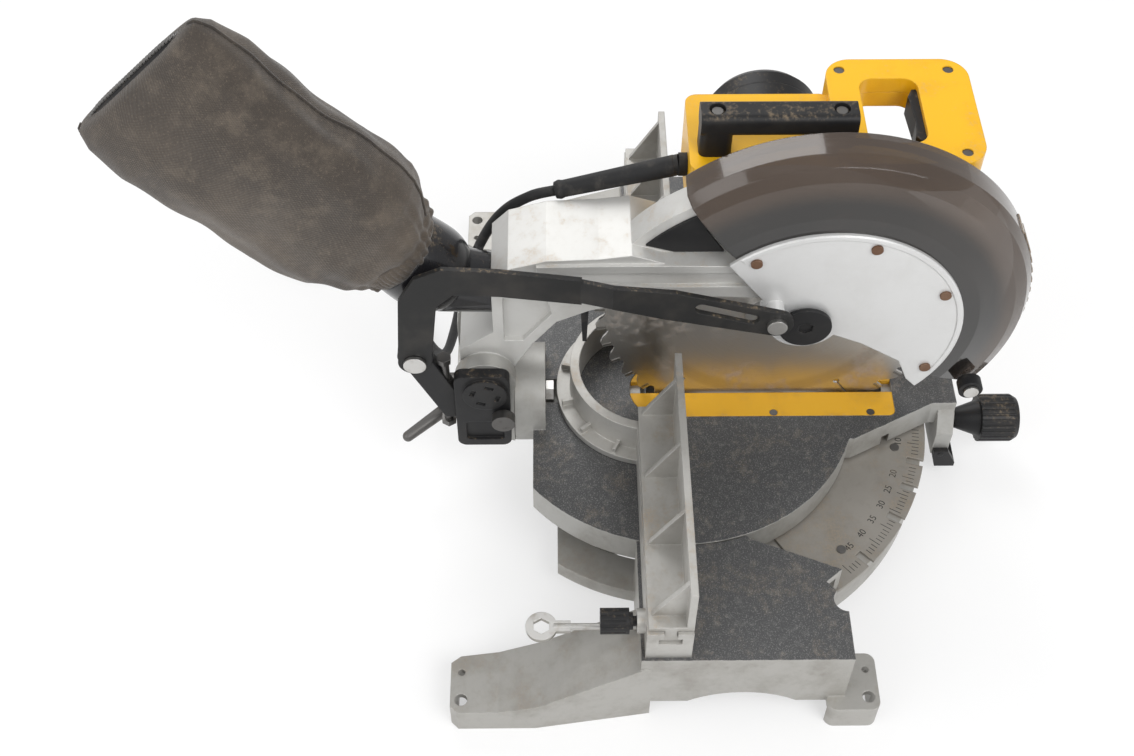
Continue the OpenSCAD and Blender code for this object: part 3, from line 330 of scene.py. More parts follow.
def bag_weave(name, tint=1.0):
    """Worn twill: crossing threads on the piece's own UV, faded folds and lint."""
    f = Finish(name)

    def shade(*rgb):
        return (*(c * tint for c in rgb), 1)

    uv = f.node("ShaderNodeTexCoord", {}, {}, "UV")
    u, v = f.part(uv, "X"), f.part(uv, "Y")
    weave = ((u + v) * 2600.0).sine() * 0.5 + ((u - v * 0.35) * 3400.0).sine() * 0.5
    broad, blot = f.noise(9.0, 5.0, 0.6), f.noise(45.0, 5.0, 0.7)
    fuzz = f.noise(700.0, 3.0, 0.7)
    faded = broad.between(0.35, 0.7)
    colour = f.blend(faded, shade(0.050, 0.040, 0.032), shade(0.090, 0.072, 0.056))
    colour = f.blend(blot.between(0.45, 0.72) * 0.6, colour, shade(0.130, 0.105, 0.080))
    f.set(
        Base_Color=f.blend(fuzz.between(0.52, 0.72) * 0.25, colour, LINT),
        Roughness=fuzz * 0.15 + 0.82,
        Sheen_Weight=0.25,
        Sheen_Roughness=0.5,
        Normal=f.bump(weave * 0.35 + fuzz * 0.5 + blot * 0.6, 0.6, 0.6 * MM),
    )
    return f.material


def soft_rubber(name):
    """Matt rubber with a fine bloom and rubbed patches."""
    f = Finish(name)
    fine, broad = f.noise(1500.0, 2.0), f.noise(60.0, 4.0, 0.65)
    patch = broad.between(0.45, 0.75) * 0.6
    f.set(
        Base_Color=f.blend(patch, (0.016, 0.016, 0.017, 1), (0.075, 0.068, 0.06, 1)),
        Roughness=broad * 0.2 + 0.5,
        Specular_IOR_Level=0.3,
        Normal=f.bump(fine, 0.3, 0.1 * MM, f.rounded(0.8 * MM)),
    )
    return f.material


FINISHES = {}

# Solids whose finish departs from that of their slot.
OWN_FINISH = {
    "base_casting": "base_cast",
    "arm_casting": "arm_paint",
    "guard_plate": "plate_paint",
    "guard_link": "link_paint",
    "guard_rivets": "rivet_rust",
    "dust_chute": "chute_gloss",
    "cord_plug": "black_plastic",
}


def make_finishes(ink):
    """Makes each finish under its slot's name, or under its own where it departs from a slot."""
    grey, shadow = (0.42, 0.415, 0.395), (0.22, 0.205, 0.18)
    FINISHES.update(
        cast_aluminium=worked_metal("cast_aluminium", grey, shadow, dust=0.7),
        base_cast=worked_metal("base_cast", (0.44, 0.43, 0.405), (0.24, 0.22, 0.19), dust=0.14,
                               top=(0.105, 0.106, 0.108)),
        table_grey=worked_metal("table_top", grey, shadow, 0.5, (0.4, 0.6), dust=0.14,
                                top=(0.095, 0.096, 0.098)),
        fence_aluminium=worked_metal("fence_cast", (0.50, 0.49, 0.465), (0.26, 0.24, 0.21)),
        arm_paint=worked_metal("arm_paint", (0.60, 0.595, 0.575), (0.38, 0.36, 0.33), 0.35,
                               (0.35, 0.55), soot=0.3),
        scale_metal=worked_metal("scale_metal", (0.33, 0.31, 0.28), (0.20, 0.18, 0.15), 0.45,
                                 (0.35, 0.55), dust=0.2),
        plate_paint=worked_metal("plate_paint", (0.66, 0.66, 0.655), (0.50, 0.49, 0.47), 0.3,
                                 (0.3, 0.45), dust=0.1, soot=0.2),
        link_paint=moulded("link_paint", (0.014, 0.014, 0.014), (0.045, 0.040, 0.035),
                           (0.42, 0.6), dust=0.5),
        rivet_rust=worked_metal("rivet_rust", (0.16, 0.085, 0.05), (0.30, 0.20, 0.13), 0.5,
                                (0.5, 0.7), dust=0.1),
        steel=turned_steel("bright_steel", (0.62, 0.61, 0.59)),
        dark_steel=turned_steel("dark_steel", (0.16, 0.155, 0.15), (0.35, 0.55)),
        carbide=turned_steel("carbide", (0.33, 0.32, 0.30), (0.3, 0.5)),
        blade_steel=ground_blade("blade_steel"),
        black_plastic=moulded("black_plastic", (0.012, 0.012, 0.013), (0.030, 0.028, 0.026)),
        chute_gloss=moulded("chute_gloss", (0.012, 0.012, 0.014), (0.03, 0.028, 0.026),
                            (0.18, 0.32), coat=0.4),
        yellow_plastic=moulded("yellow_plastic", (0.86, 0.47, 0.012), (0.72, 0.36, 0.01),
                               (0.3, 0.45), coat=0.2),
        kerf_plastic=moulded("kerf_plastic", (0.78, 0.42, 0.03), (0.50, 0.25, 0.04), (0.4, 0.55)),
        red_plastic=moulded("red_plastic", (0.55, 0.03, 0.02), (0.35, 0.02, 0.02)),
        ink=moulded("scale_ink", ink, (0.08, 0.07, 0.06), (0.5, 0.6)),
        clear_guard=smoked_guard("smoked_guard"),
        bag_cloth=bag_weave("bag_twill"),
        bag_seam=bag_weave("bag_seam", tint=0.55),
        cord_rubber=soft_rubber("cord_rubber"),
    )


# Surfaces.


def put_mesh(name, points, faces, material, uv=None, smooth=True):
    """Puts an array of points and a list of faces into a new object."""
    mesh = bpy.data.meshes.new(name)
    mesh.from_pydata(np.asarray(points, float).reshape(-1, 3), [], faces)
    mesh.polygons.foreach_set("use_smooth", np.full(len(mesh.polygons), smooth))
    if uv is not None:
        layer = mesh.uv_layers.new(name="UVMap")
        index = np.empty(len(mesh.loops), np.int32)
        mesh.loops.foreach_get("vertex_index", index)
        layer.data.foreach_set("uv", np.asarray(uv, float)[index].ravel())
    mesh.materials.append(material)
    mesh.update()
    obj = bpy.data.objects.new(name, mesh)
    bpy.context.scene.collection.objects.link(obj)
    return obj


def circle(count):
    """Angles of count points round a full turn."""
    return np.linspace(0, 2 * np.pi, count, endpoint=False)


def grid_faces(rows, columns, closed):
    """Quads of a grid of rows by columns; closed joins the last column to the first."""
    i = np.arange(rows - 1)[:, None]
    j = np.arange(columns if closed else columns - 1)[None, :]
    a, b = i * columns + j, i * columns + (j + 1) % columns
    return np.stack([a, b, b + columns, a + columns], -1).reshape(-1, 4).tolist()


def capped_faces(rows, columns):
    """Quads of a closed grid, and one face over each of its end rings."""
    first = np.arange(columns)
    last = first + (rows - 1) * columns
    return grid_faces(rows, columns, True) + [first[::-1].tolist(), last.tolist()]


def box_corners(x, y, z):
    """The eight corners of a box, from its two limits along each axis."""
    return np.array([[i, j, k] for i in x for j in y for k in z])


def box_faces(count):
    """The six faces of each of count boxes, whose corners follow one another by eights."""
    box = np.array([[0, 1, 3, 2], [4, 6, 7, 5], [0, 4, 5, 1],
                    [2, 3, 7, 6], [0, 2, 6, 4], [1, 5, 7, 3]])
    first = 8 * np.arange(count)[:, None, None]
    return (box[None] + first).reshape(-1, 4).tolist()


def tube(path, radius, sides):
    """A circle of the radius carried along the path, square to it, with its zero mark kept
    square to one fixed direction that no path follows."""
    path = np.asarray(path, float)
    fixed = [0.65, -0.6, 0.47]
    ahead = np.gradient(path, axis=0)
    ahead /= np.linalg.norm(ahead, axis=1, keepdims=True)
    side = np.cross(ahead, fixed)
    side /= np.linalg.norm(side, axis=1, keepdims=True)
    up = np.cross(ahead, side)
    turn = circle(sides)[None, :, None]
    ring = np.cos(turn) * side[:, None] + np.sin(turn) * up[:, None]
    reach = np.broadcast_to(np.asarray(radius, float), (len(path),))[:, None, None]
    return path[:, None] + reach * ring, capped_faces(len(path), sides)


def smooth_curve(points, steps):
    """A curve through the points: on each span a cubic whose ends lean along the neighbours'
    chord."""
    p = np.asarray(points, float)
    q = np.vstack([p[:1], p, p[-1:]])
    t = np.arange(steps)[:, None] / steps
    spans = [
        0.5 * (2 * b + (c - a) * t + (2 * a - 5 * b + 4 * c - d) * t**2
               + (3 * b - a - 3 * c + d) * t**3)
        for a, b, c, d in zip(q[:-3], q[1:-2], q[2:-1], q[3:])
    ]
    return np.vstack(spans + [p[-1:]])


# The stage.


EYE = Vector((-0.8605, 0.0909, 1.2055))  # the photograph's viewpoint
EYE_PITCH, EYE_YAW, EYE_ROLL = 0.904825, -0.0142154, 0.0050942  # radians
FILM_WIDTH = 36.0  # mm
VIEW_DEPTH = 50.0
FLOOR_HALF = 20.0
FLOOR_GLOW = 0.55  # share of the floor that shows as plain white
SKY_LIGHT = 0.55  # strength of the sky as light; it is 1 to the camera
LAMP_AIM = Vector((0, 0, 0.2))
LAMPS = (  # name, place, size, watts
    ("key", (-1.6, -1.2, 2.2), 1.6, 42),
    ("fill", (-1.2, 1.9, 1.8), 2.0, 22),
    ("back", (1.8, 0.6, 1.9), 1.6, 26),
)


class StageSettings(bpy.types.PropertyGroup):
    lens: bpy.props.FloatProperty(
        name="Focal length", description="Camera lens", default=49.392, unit="CAMERA")
    floor: bpy.props.FloatVectorProperty(
        name="Floor", description="Floor colour", subtype="COLOR", default=(0.93, 0.93, 0.93))


class SAW_OT_stage(bpy.types.Operator):
    """Floor, soft light and the camera at the photograph's view"""

    bl_idname = "saw.stage"
    bl_label = "Stage"

    def execute(self, context):
        scene = context.scene
        scene.view_settings.view_transform = "Standard"
        self.camera(scene)
        self.floor(scene)
        self.sky(scene)
        self.lamps(scene)
        return {"FINISHED"}

    def camera(self, scene):
        level = math.cos(EYE_PITCH)
        ahead = Vector((level * math.cos(EYE_YAW), level * math.sin(EYE_YAW), -math.sin(EYE_PITCH)))
        flat = ahead.cross(Vector((0, 0, 1))).normalized()
        steep = flat.cross(ahead)
        right = flat * math.cos(EYE_ROLL) + steep * math.sin(EYE_ROLL)
        up = steep * math.cos(EYE_ROLL) - flat * math.sin(EYE_ROLL)
        data = bpy.data.cameras.new("photo_view")
        data.sensor_width, data.lens = FILM_WIDTH, scene.saw_stage.lens
        data.clip_end = VIEW_DEPTH
        camera = bpy.data.objects.new("photo_view", data)
        turn = Matrix((right, up, -ahead)).transposed().to_4x4()
        camera.matrix_world = Matrix.Translation(EYE) @ turn
        scene.collection.objects.link(camera)
        scene.camera = camera

    def floor(self, scene):
        """A pale square, part of it plain white to the rays that show it."""
        f = Finish("pale_floor")
        patch = f.noise(30.0, 2.0) * 0.04
        pale = (*scene.saw_stage.floor, 1)
        f.set(Base_Color=f.blend(patch, pale, (0.9, 0.9, 0.9, 1)), Roughness=0.8)
        rays = ("Is Camera Ray", "Is Glossy Ray", "Is Transmission Ray")
        seen = sum((f.node("ShaderNodeLightPath", {}, {}, ray) for ray in rays), 0.0)
        paint = Value(f, f.shader.outputs[0])
        glow = f.node("ShaderNodeEmission", {}, {"Color": WHITE, "Strength": 1.0})
        cover = f.node("ShaderNodeMixShader", {}, {0: seen * FLOOR_GLOW, 1: paint, 2: glow})
        out = next(n for n in f.tree.nodes if n.type == "OUTPUT_MATERIAL")
        f.feed(out.inputs[0], cover)
        corners = FLOOR_HALF * np.array([[-1, -1, 0], [1, -1, 0], [1, 1, 0], [-1, 1, 0]])
        floor = put_mesh("floor", corners, [[0, 1, 2, 3]], f.material)

    def sky(self, scene):
        """White to the camera, softer as light."""
        world = bpy.data.worlds.new("studio")
        world.use_nodes = True
        tree = Tree(world.node_tree)
        seen = tree.node("ShaderNodeLightPath", {}, {}, "Is Camera Ray")
        strength = tree.node(
            "ShaderNodeMapRange", {}, {"Value": seen, "To Min": SKY_LIGHT, "To Max": 1.0}
        )
        background = world.node_tree.nodes["Background"]
        tree.feed(background.inputs["Color"], WHITE)
        tree.feed(background.inputs["Strength"], strength)
        scene.world = world

    def lamps(self, scene):
        for name, place, size, power in LAMPS:
            lamp = bpy.data.lights.new(name, "AREA")
            lamp.energy, lamp.size = power, size
            obj = bpy.data.objects.new(name, lamp)
            obj.location = place
            obj.rotation_euler = (LAMP_AIM - Vector(place)).to_track_quat("-Z", "Y").to_euler()
            scene.collection.objects.link(obj)


# The cord.


LEAD = np.array([  # from the boot down to the coil, in mm from the mitre axis
    [50, 104.4, 296.1], [50, 126, 289], [53, 150, 266], [58, 170, 222], [64, 186, 160],
    [72, 198, 95], [86, 210, 42], [112, 224, 15], [152, 242, 6], [205, 266, 5.2],
    [250, 277, 5], [295, 279, 4.8],
])
LEAD_STEPS = 10  # path points on each span of the lead
COIL_CENTRE = np.array([295, 350]) * MM
COIL_GAP = 0.7 * MM  # between turns, and between the two layers
COIL_STEP, COIL_END = 7.5, 2610  # degrees
CLIMB = 1260  # degrees at which the lower layer ends
TUCK_TURN, CLIMB_TURN = 60, 120  # degrees in which the cord draws in, and in which it climbs
TUCK = 5 * MM  # how far it draws in
CORD_REST = 4.8 * MM  # height of the cord's axis where it lies on the floor
TAIL_STEPS = np.arange(1, 4)  # points from the coil to the plug


class CordSettings(bpy.types.PropertyGroup):
    diameter: bpy.props.FloatProperty(
        name="Diameter", description="Cord diameter", default=0.009, unit="LENGTH")
    outer: bpy.props.FloatProperty(
        name="Coil radius", description="Outer turn of the coil", default=0.071, unit="LENGTH")


class SAW_OT_cord(bpy.types.Operator):
    """Power lead from the strain relief to the floor, coiled behind the saw"""

    bl_idname = "saw.cord"
    bl_label = "Cord"

    def execute(self, context):
        path = self.path(context.scene.saw_cord)
        # The lead hangs across three joints, so its tube is in three lengths.
        top, middle, floor = 3 * LEAD_STEPS, 4 * LEAD_STEPS, 9 * LEAD_STEPS
        self.length("cord_upper", path[:top + 1], ("bevel", "head"), path[top], path[0])
        self.length("cord_middle", path[top:middle + 1], ("table", "bevel"), path[middle], path[top])
        cord = self.length("power_cord", path[middle:], ("base", "table"), path[floor], path[middle],
                           "plug", "coiled", [frame["nodes"]["cord_plug"]])
        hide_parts("cord_lead", "cord_coil")
        return {"FINISHED"}

    def path(self, s):
        """The lead's curve, then two flat layers of turns: the radius falls by a pitch a turn,
        the cord draws in and climbs, and the radius grows again up to the plug."""
        lead = smooth_curve(LEAD * MM, LEAD_STEPS)
        pitch = s.diameter + COIL_GAP
        a = np.arange(0, COIL_END + 0.1, COIL_STEP)
        past = a - CLIMB
        inner = s.outer - pitch * CLIMB / 360 - TUCK
        draw = (1 - np.cos(np.pi * past / TUCK_TURN)) / 2
        r = np.where(
            past < 0,
            s.outer - pitch * a / 360,
            np.where(
                past < TUCK_TURN,
                inner + TUCK - (TUCK + pitch * TUCK_TURN / 360) * draw,
                inner + pitch * (past - CLIMB_TURN) / 360,
            ),
        )
        lift = np.clip(past / CLIMB_TURN, 0, 1)
        z = CORD_REST + pitch * (1 - np.cos(np.pi * lift)) / 2
        turn = np.radians(a)
        x, y = COIL_CENTRE[0] + r * np.sin(turn), COIL_CENTRE[1] - r * np.cos(turn)
        coil = np.stack([x, y, z], -1)
        tail = np.stack([COIL_CENTRE[0] + r[-1] + 0.5 * MM * TAIL_STEPS,
                         COIL_CENTRE[1] + 15 * MM * TAIL_STEPS,
                         np.full(len(TAIL_STEPS), z[-1])], -1)
        return np.vstack([lead, coil[1:], tail]) + [0, MITRE_Y, 0]

    def length(self, name, path, bodies, start, end, far_end="object", lay="hanging", fitted=()):
        """A round tube along the path; the bodies, start and end that it is given are not used."""
        diameter = bpy.context.scene.saw_cord.diameter
        points, faces = tube(path, diameter / 2, 12)
        run = put_mesh(name, points, faces, FINISHES["cord_rubber"])
        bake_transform(run)
        return run


# The dust bag.


COLLAR = np.array([0, 0.205 + MITRE_Y, 0.255])  # middle of the dust collar
NECK = 20 * MM  # from there to the bag's neck
BAG_ROWS, BAG_COLUMNS = 150, 200
BAG_START = 0.048  # share of the length that the cuff covers
SQUARENESS = 0.72  # power that squares the bag's oval section; 1 is an ellipse
# Shares of the length, and of the half height and half width there.
BAG_STATIONS = np.array([0, 10, 26, 60, 110, 170, 225, 256, 268, 270]) / 270
BAG_HIGH = (0.46, 0.46, 0.60, 0.89, 0.98, 1.0, 1.03, 1.02, 0.96, 0.88)
BAG_WIDE = (0.80, 0.78, 0.84, 0.95, 1.0, 0.98, 0.86, 0.60, 0.34, 0.18)
SEAM_R, SEAM_PROUD, SEAM_START = 1.3 * MM, 0.4 * MM, 8
CUFF_R, CUFF_START, CUFF_LENGTH, CUFF_WALL = 34.5 * MM, 13.5 * MM, 16 * MM, 1.4 * MM
CUFF_ROWS, CUFF_COLUMNS = 14, 240
ZIP_SPAN = 0.42  # half the zip, as a share of the bag's height
ZIP_DROP = 6 * MM  # how far its ends fall
ZIP_ROWS, ZIP_COLUMNS, ZIP_TEETH = 60, 9, 64


class BagSettings(bpy.types.PropertyGroup):
    length: bpy.props.FloatProperty(
        name="Length", description="From the neck to the zip", default=0.27, unit="LENGTH")
    height: bpy.props.FloatProperty(
        name="Height", description="Across the broad face", default=0.15, unit="LENGTH")
    width: bpy.props.FloatProperty(
        name="Width", description="Across the narrow face", default=0.084, unit="LENGTH")
    rise: bpy.props.FloatProperty(
        name="Rise", description="Slope of the bag", default=math.radians(46), subtype="ANGLE")


class BagAxes:
    """The bag's neck, its long axis and the direction across its broad face."""

    def __init__(self, rise):
        lean = rise - math.pi / 2
        self.across = np.array([0, math.cos(lean), math.sin(lean)])
        self.along = np.array([0, -math.sin(lean), math.cos(lean)])
        self.origin = COLLAR + self.along * NECK

    def place(self, x, y, z):
        """Points x to the side, y across and z along from the neck, from arrays that match."""
        x, y, z = (c[..., None] for c in np.broadcast_arrays(x, y, z))
        return self.origin + x * SIDE + y * self.across + z * self.along


class SAW_OT_bag(bpy.types.Operator):
    """Dust bag: a cloth shell gathered at its neck, creased and closed by a zip"""

    bl_idname = "saw.bag"
    bl_label = "Dust bag"

    def execute(self, context):
        s = context.scene.saw_bag
        axes = BagAxes(s.rise)
        points = self.cloth(s, axes)
        self.piping(points)
        self.cuff(axes)
        self.zip(s, axes)
        return {"FINISHED"}

    def cloth(self, s, axes):
        """A squared oval, x = wide cos(u)^p and y = high sin(u)^p, carried along the bag, with
        gathers that fade out of the neck, long slack folds over the body, small creases over
        both, and close pulls and rings beside the cuff."""
        t = np.linspace(BAG_START, 1, BAG_ROWS)[:, None]
        u = circle(BAG_COLUMNS)[None, :]
        high = np.interp(t, BAG_STATIONS, BAG_HIGH) * s.height / 2
        wide = np.interp(t, BAG_STATIONS, BAG_WIDE) * s.width / 2
        c, n = np.cos(u), np.sin(u)
        x = wide * np.sign(c) * np.abs(c) ** SQUARENESS
        y = high * np.sign(n) * np.abs(n) ** SQUARENESS
        middle = np.sin(np.pi * t)
        gather = 3.0 * np.exp(-t * 9) * np.cos(17 * u + 1.3 * np.sin(3 * u))
        slack = 4.2 * np.sin(2.2 * u + 9 * t + 1.1) * middle**2
        crease = 1.9 * np.sin(7 * u - 21 * t) * np.sin(5 * u + 13 * t) * middle
        pull = 2.1 * np.cos(46 * t + 1.8 * n + np.sin(2 * u)) * np.exp(-((t - 0.13) / 0.1) ** 2)
        rings = 1.4 * np.cos(150 * t + 1.4 * np.sin(2 * u)) * np.exp(-((t - 0.07) / 0.05) ** 2)
        swell = 1 + (gather + slack + crease + pull + rings) * MM / np.hypot(wide, high)
        z = t * s.length + 3 * MM * np.sin(3 * u) * np.exp(-t * 14)
        points = axes.place(x * swell, y * swell + 4 * MM * middle, z)
        girth = u / (2 * np.pi) * 0.4
        uv = np.stack(np.broadcast_arrays(girth, t * s.length), -1).reshape(-1, 2)
        faces = capped_faces(BAG_ROWS, BAG_COLUMNS)
        bag = put_mesh("dust_bag_cloth", points, faces, FINISHES["bag_cloth"], uv)
        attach(bag, "head")
        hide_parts("dust_bag")
        return points

    def piping(self, points):
        """Seams: thin tubes that follow the cloth along its two narrow edges."""
        for name, column in (("upper", BAG_COLUMNS // 4), ("lower", 3 * BAG_COLUMNS // 4)):
            near = points[SEAM_START:, column]
            far = points[SEAM_START:, (column + BAG_COLUMNS // 2) % BAG_COLUMNS]
            seam, faces = tube(near + SEAM_PROUD * np.sign(near - far), SEAM_R, 8)
            obj = put_mesh("bag_seam_" + name, seam, faces, FINISHES["bag_seam"])
            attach(obj, "head")

    def cuff(self, axes):
        """Elastic cuff: a bulging band turned about the bag's axis, with fine gathers."""
        u = circle(CUFF_COLUMNS)[None, :]
        v = np.linspace(0, 1, CUFF_ROWS)[:, None]
        r = CUFF_R + (2.2 + 0.6 * np.cos(46 * u)) * MM * np.sin(np.pi * v)
        z = CUFF_START + CUFF_LENGTH * v + 0.6 * MM * np.sin(9 * u)
        points = axes.place(r * np.cos(u), r * np.sin(u), z)
        uv = np.stack(np.broadcast_arrays(u * CUFF_R, z), -1).reshape(-1, 2)
        faces = grid_faces(CUFF_ROWS, CUFF_COLUMNS, True)
        cuff = put_mesh("bag_cuff", points, faces, FINISHES["bag_cloth"], uv)
        solid = cuff.modifiers.new("thick", "SOLIDIFY")
        solid.thickness, solid.offset = CUFF_WALL, 1
        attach(cuff, "head")

    def zip(self, s, axes):
        """Zip along the far end: a domed tape, and a row of small teeth that step from side to
        side. Both fall towards their ends by the sixth power of the place."""
        half = ZIP_SPAN * s.height
        q = np.linspace(-1, 1, ZIP_ROWS)[:, None]
        w = np.linspace(-1, 1, ZIP_COLUMNS)[None, :]
        dome = s.length + (2.0 * (1 - w**2) - 0.4) * MM - ZIP_DROP * np.abs(q) ** 6
        points = axes.place(7.2 * MM * w, half * q, dome)
        faces = grid_faces(ZIP_ROWS, ZIP_COLUMNS, False)
        tape = put_mesh("zip_tape", points, faces, FINISHES["black_plastic"])
        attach(tape, "head")
        at = np.linspace(-0.94, 0.94, ZIP_TEETH)[:, None]
        step = np.where(np.arange(ZIP_TEETH) % 2, 0.8, -0.8)[:, None] * MM
        x, y, z = (box_corners((-2.0, 2.0), (-1.4, 1.4), (0, 1.2)) * MM).T
        crest = s.length + 1.3 * MM - ZIP_DROP * np.abs(at) ** 6
        teeth = axes.place(step + x, half * at + y, crest + z)
        row = put_mesh("zip_teeth", teeth, box_faces(ZIP_TEETH), FINISHES["dark_steel"], smooth=False)
        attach(row, "head")


# The funnel and the boot.


FUNNEL_SIDES = 96
FUNNEL_R, FUNNEL_MOUTH_R, FUNNEL_INSIDE_R = 37.5, 34.8, 33.0  # mm
FUNNEL_WAIST, FUNNEL_MOUTH, FUNNEL_FLOOR = -12, 12, 4  # mm along the bag from its neck
FUNNEL_BACK = 40  # mm that the rounded back reaches behind the waist
FUNNEL_TAPER, FUNNEL_LIP = 1.5, 1.2  # mm
BOOT_ROOT = np.array([0.050, 0.004 + MITRE_Y, 0.325])
BOOT_LEAN = math.radians(-106)
BOOT_START, BOOT_END = 4 * MM, 104.2 * MM
BOOT_R, BOOT_TAPER = 8.8 * MM, 0.01683
BEAD, BEAD_AT, BEAD_WIDTH = 0.9 * MM, 100.5 * MM, 2.2 * MM


class SAW_OT_mouldings(bpy.types.Operator):
    """Glossy dust funnel behind the bag, and the smooth boot of the strain relief"""

    bl_idname = "saw.mouldings"
    bl_label = "Mouldings"

    def execute(self, context):
        self.funnel(BagAxes(context.scene.saw_bag.rise))
        self.boot()
        return {"FINISHED"}

    def funnel(self, axes):
        """Turned about the bag's axis: the outside is a quarter ellipse that runs into a slow
        taper, and a rolled rim leads to a shallow inside."""
        a = np.linspace(0.03, np.pi / 2, 40)
        back = [FUNNEL_WAIST - FUNNEL_BACK * np.cos(a), FUNNEL_R * np.sin(a)]
        q = np.linspace(0, 1, 24)[1:]
        wall = [FUNNEL_WAIST + (FUNNEL_MOUTH - FUNNEL_WAIST) * q, FUNNEL_R - FUNNEL_TAPER * q**2]
        b = np.linspace(0, np.pi, 10)[1:]
        rim = [FUNNEL_MOUTH + FUNNEL_LIP * np.sin(b), FUNNEL_MOUTH_R + FUNNEL_LIP * np.cos(b)]
        inside = [np.full(12, FUNNEL_FLOOR), np.linspace(FUNNEL_INSIDE_R, 0.5, 12)]
        z, r = np.hstack([back, wall, rim, inside])[..., None] * MM
        u = circle(FUNNEL_SIDES)
        points = axes.place(r * np.cos(u), r * np.sin(u), z)
        faces = capped_faces(len(z), FUNNEL_SIDES)
        funnel = put_mesh("dust_funnel", points, faces, FINISHES["chute_gloss"])
        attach(funnel, "head")

    def boot(self):
        """A circle carried along the boot's axis: its radius falls evenly, with a small bead at
        the tip."""
        axis = np.array([0, -math.sin(BOOT_LEAN), math.cos(BOOT_LEAN)])
        at = np.linspace(BOOT_START, BOOT_END, 180)
        bead = BEAD * np.exp(-(((at - BEAD_AT) / BEAD_WIDTH) ** 2))
        points, faces = tube(BOOT_ROOT + np.outer(at, axis), BOOT_R - BOOT_TAPER * at + bead, 36)
        boot = put_mesh("strain_boot", points, faces, FINISHES["cord_rubber"])
        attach(boot, "head")


# The scale and the blade.


SCALE_LIFT = 0.05 * MM  # marks stand this far off the plate
SCALE_END = 50  # degrees to each side
DETENTS = np.array([0, 15, 22.5, 31.6, 45])  # degrees that a notch takes from the marks
DETENT_ROOM = 1.2  # degrees
LONG_MARK, SHORT_MARK, MARK_HALF = 10.5 * MM, 6.2 * MM, 0.32 * MM
NUMBERS = (5, 10, 20, 25, 30, 35, 40, 45)
NUMBER_SIZE, NUMBER_INSET = 8.5 * MM, 18.5 * MM
TEETH = 40
TIP_X, TIP_Y, TIP_R = (-1.5, 1.5), (0.2, 2.4), (-8.5, -0.3)  # mm; the last from the blade's rim


class ScaleSettings(bpy.types.PropertyGroup):
    radius: bpy.props.FloatProperty(
        name="Radius", description="Outer end of the marks", default=0.2275, unit="LENGTH")
    ink: bpy.props.FloatVectorProperty(
        name="Ink", description="Colour of the marks", subtype="COLOR", default=(0.03, 0.03, 0.03))


class SAW_OT_scale(bpy.types.Operator):
    """Degree marks and numbers of the mitre scale"""

    bl_idname = "saw.scale"
    bl_label = "Mitre scale"

    def execute(self, context):
        radius = context.scene.saw_scale.radius
        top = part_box("scale_plate")[1][2] + SCALE_LIFT
        self.marks(radius, top)
        for value in [-n for n in reversed(NUMBERS)] + list(NUMBERS):
            self.number(value, radius - NUMBER_INSET, top)
        return {"FINISHED"}

    def marks(self, radius, top):
        """A thin quad along the radius at each degree, longer at every fifth, clear of the notches."""
        degrees = np.arange(-SCALE_END, SCALE_END + 1)
        room = np.min(np.abs(np.abs(degrees)[:, None] - DETENTS), axis=1)
        degrees = degrees[room > DETENT_ROOM]
        a = np.radians(degrees) - np.pi / 2
        out = np.stack([np.cos(a), np.sin(a), np.zeros_like(a)], -1)
        half = MARK_HALF * np.stack([-np.sin(a), np.cos(a), np.zeros_like(a)], -1)
        low = out * (radius - np.where(degrees % 5 == 0, LONG_MARK, SHORT_MARK))[:, None]
        high = out * radius
        quads = np.stack([low - half, high - half, high + half, low + half], 1) + [0, MITRE_Y, top]
        faces = np.arange(len(a) * 4).reshape(-1, 4).tolist()
        marks = put_mesh("scale_marks", quads, faces, FINISHES["ink"], smooth=False)
        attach(marks, "base")

    def number(self, value, radius, top):
        """One number, turned to face the user round the scale."""
        curve = bpy.data.curves.new("number", "FONT")
        curve.body, curve.size = str(abs(value)), NUMBER_SIZE
        curve.align_x, curve.align_y = "CENTER", "CENTER"
        holder = bpy.data.objects.new("number", curve)
        bpy.context.scene.collection.objects.link(holder)
        shaped = holder.evaluated_get(bpy.context.evaluated_depsgraph_get())
        mesh = bpy.data.meshes.new_from_object(shaped)
        bpy.data.objects.remove(holder)
        a = math.radians(value)
        place = Matrix.Translation((radius * math.sin(a), MITRE_Y - radius * math.cos(a), top))
        mesh.transform(place @ Matrix.Rotation(a, 4, "Z"))
        mesh.materials.clear()
        mesh.materials.append(FINISHES["ink"])
        obj = bpy.data.objects.new(f"scale_number_{'r' if value > 0 else 'l'}{abs(value)}", mesh)
        bpy.context.scene.collection.objects.link(obj)
        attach(obj, "base")


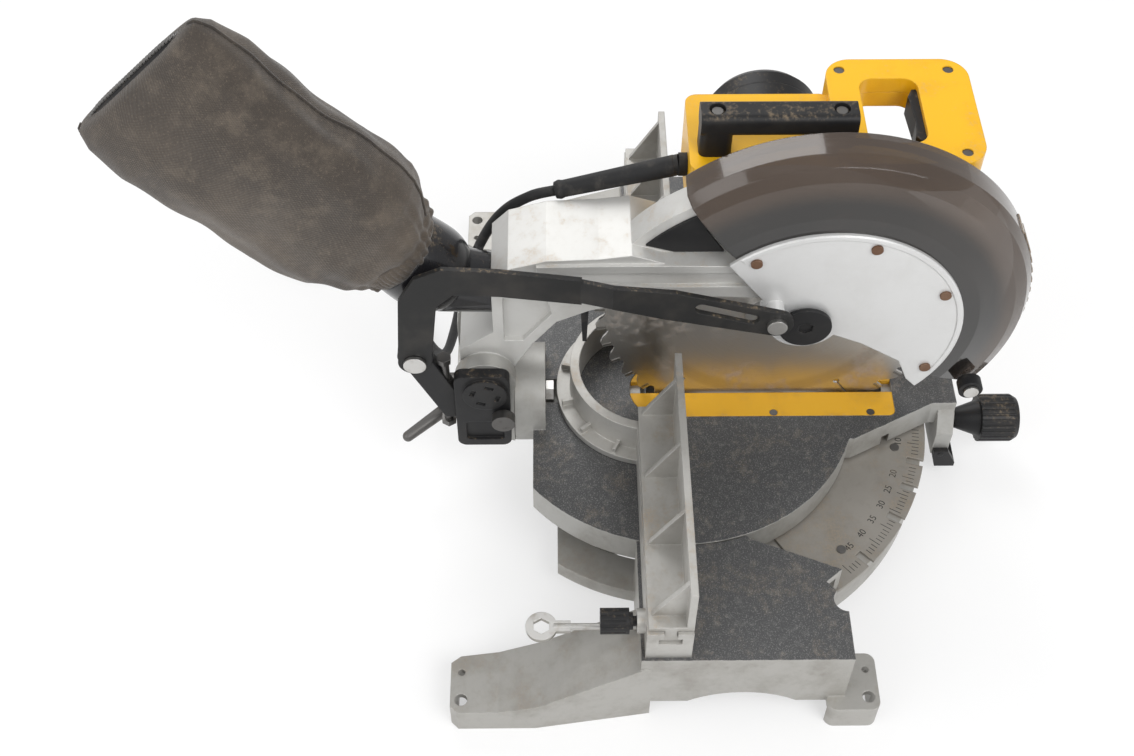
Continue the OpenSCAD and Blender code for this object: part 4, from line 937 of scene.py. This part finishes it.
class SAW_OT_blade_tips(bpy.types.Operator):
    """Carbide tips brazed to the blade's teeth"""

    bl_idname = "saw.blade_tips"
    bl_label = "Blade tips"

    def execute(self, context):
        # A small box at each tooth: x along the arbor, y along the rim, r from the centre.
        lo, hi = np.array(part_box("saw_blade"))
        radius = (hi[1] - lo[1]) / 2
        a = circle(TEETH)[:, None, None]
        out = np.concatenate([np.zeros_like(a), np.cos(a), np.sin(a)], -1)
        rim = np.concatenate([np.zeros_like(a), -np.sin(a), np.cos(a)], -1)
        x, y, r = (box_corners(TIP_X, TIP_Y, TIP_R) * MM).T[..., None]
        points = (lo + hi) / 2 + x * SIDE + y * rim + (radius + r) * out
        tips = put_mesh("blade_tips", points, box_faces(TEETH), FINISHES["carbide"], smooth=False)
        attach(tips, "blade")
        return {"FINISHED"}


class SAW_OT_finishes(bpy.types.Operator):
    """Makes the finishes and puts one on every solid"""

    bl_idname = "saw.finishes"
    bl_label = "Finishes"

    def execute(self, context):
        make_finishes(tuple(context.scene.saw_scale.ink))
        slots = {p["node"]: p["material_slot"] for p in frame["record"]["subparts"]}
        for node, obj in frame["nodes"].items():
            obj.data.materials.clear()
            obj.data.materials.append(FINISHES[OWN_FINISH.get(node, slots[node])])
        return {"FINISHED"}


class SAW_PT_panel(bpy.types.Panel):
    """Lists the dressing steps"""

    bl_label = "Mitre saw"
    bl_space_type = "VIEW_3D"
    bl_region_type = "UI"
    bl_category = "Mitre saw"

    def draw(self, context):
        for step in STEPS:
            self.layout.operator(step.bl_idname)


# The finishes come first, because every new piece wears one.
STEPS = (SAW_OT_finishes, SAW_OT_stage, SAW_OT_cord, SAW_OT_bag, SAW_OT_mouldings, SAW_OT_scale,
         SAW_OT_blade_tips)
GROUPS = {"saw_stage": StageSettings, "saw_cord": CordSettings, "saw_bag": BagSettings,
          "saw_scale": ScaleSettings}


def register():
    for name, group in GROUPS.items():
        bpy.utils.register_class(group)
        setattr(bpy.types.Scene, name, bpy.props.PointerProperty(type=group))
    for step in STEPS:
        bpy.utils.register_class(step)
    bpy.utils.register_class(SAW_PT_panel)


def unregister():
    bpy.utils.unregister_class(SAW_PT_panel)
    for step in reversed(STEPS):
        bpy.utils.unregister_class(step)
    for name, group in GROUPS.items():
        delattr(bpy.types.Scene, name)
        bpy.utils.unregister_class(group)


def main():
    register()
    for step in STEPS:
        area, name = step.bl_idname.split(".")
        getattr(getattr(bpy.ops, area), name)()


if __name__ == "__main__":
    main()
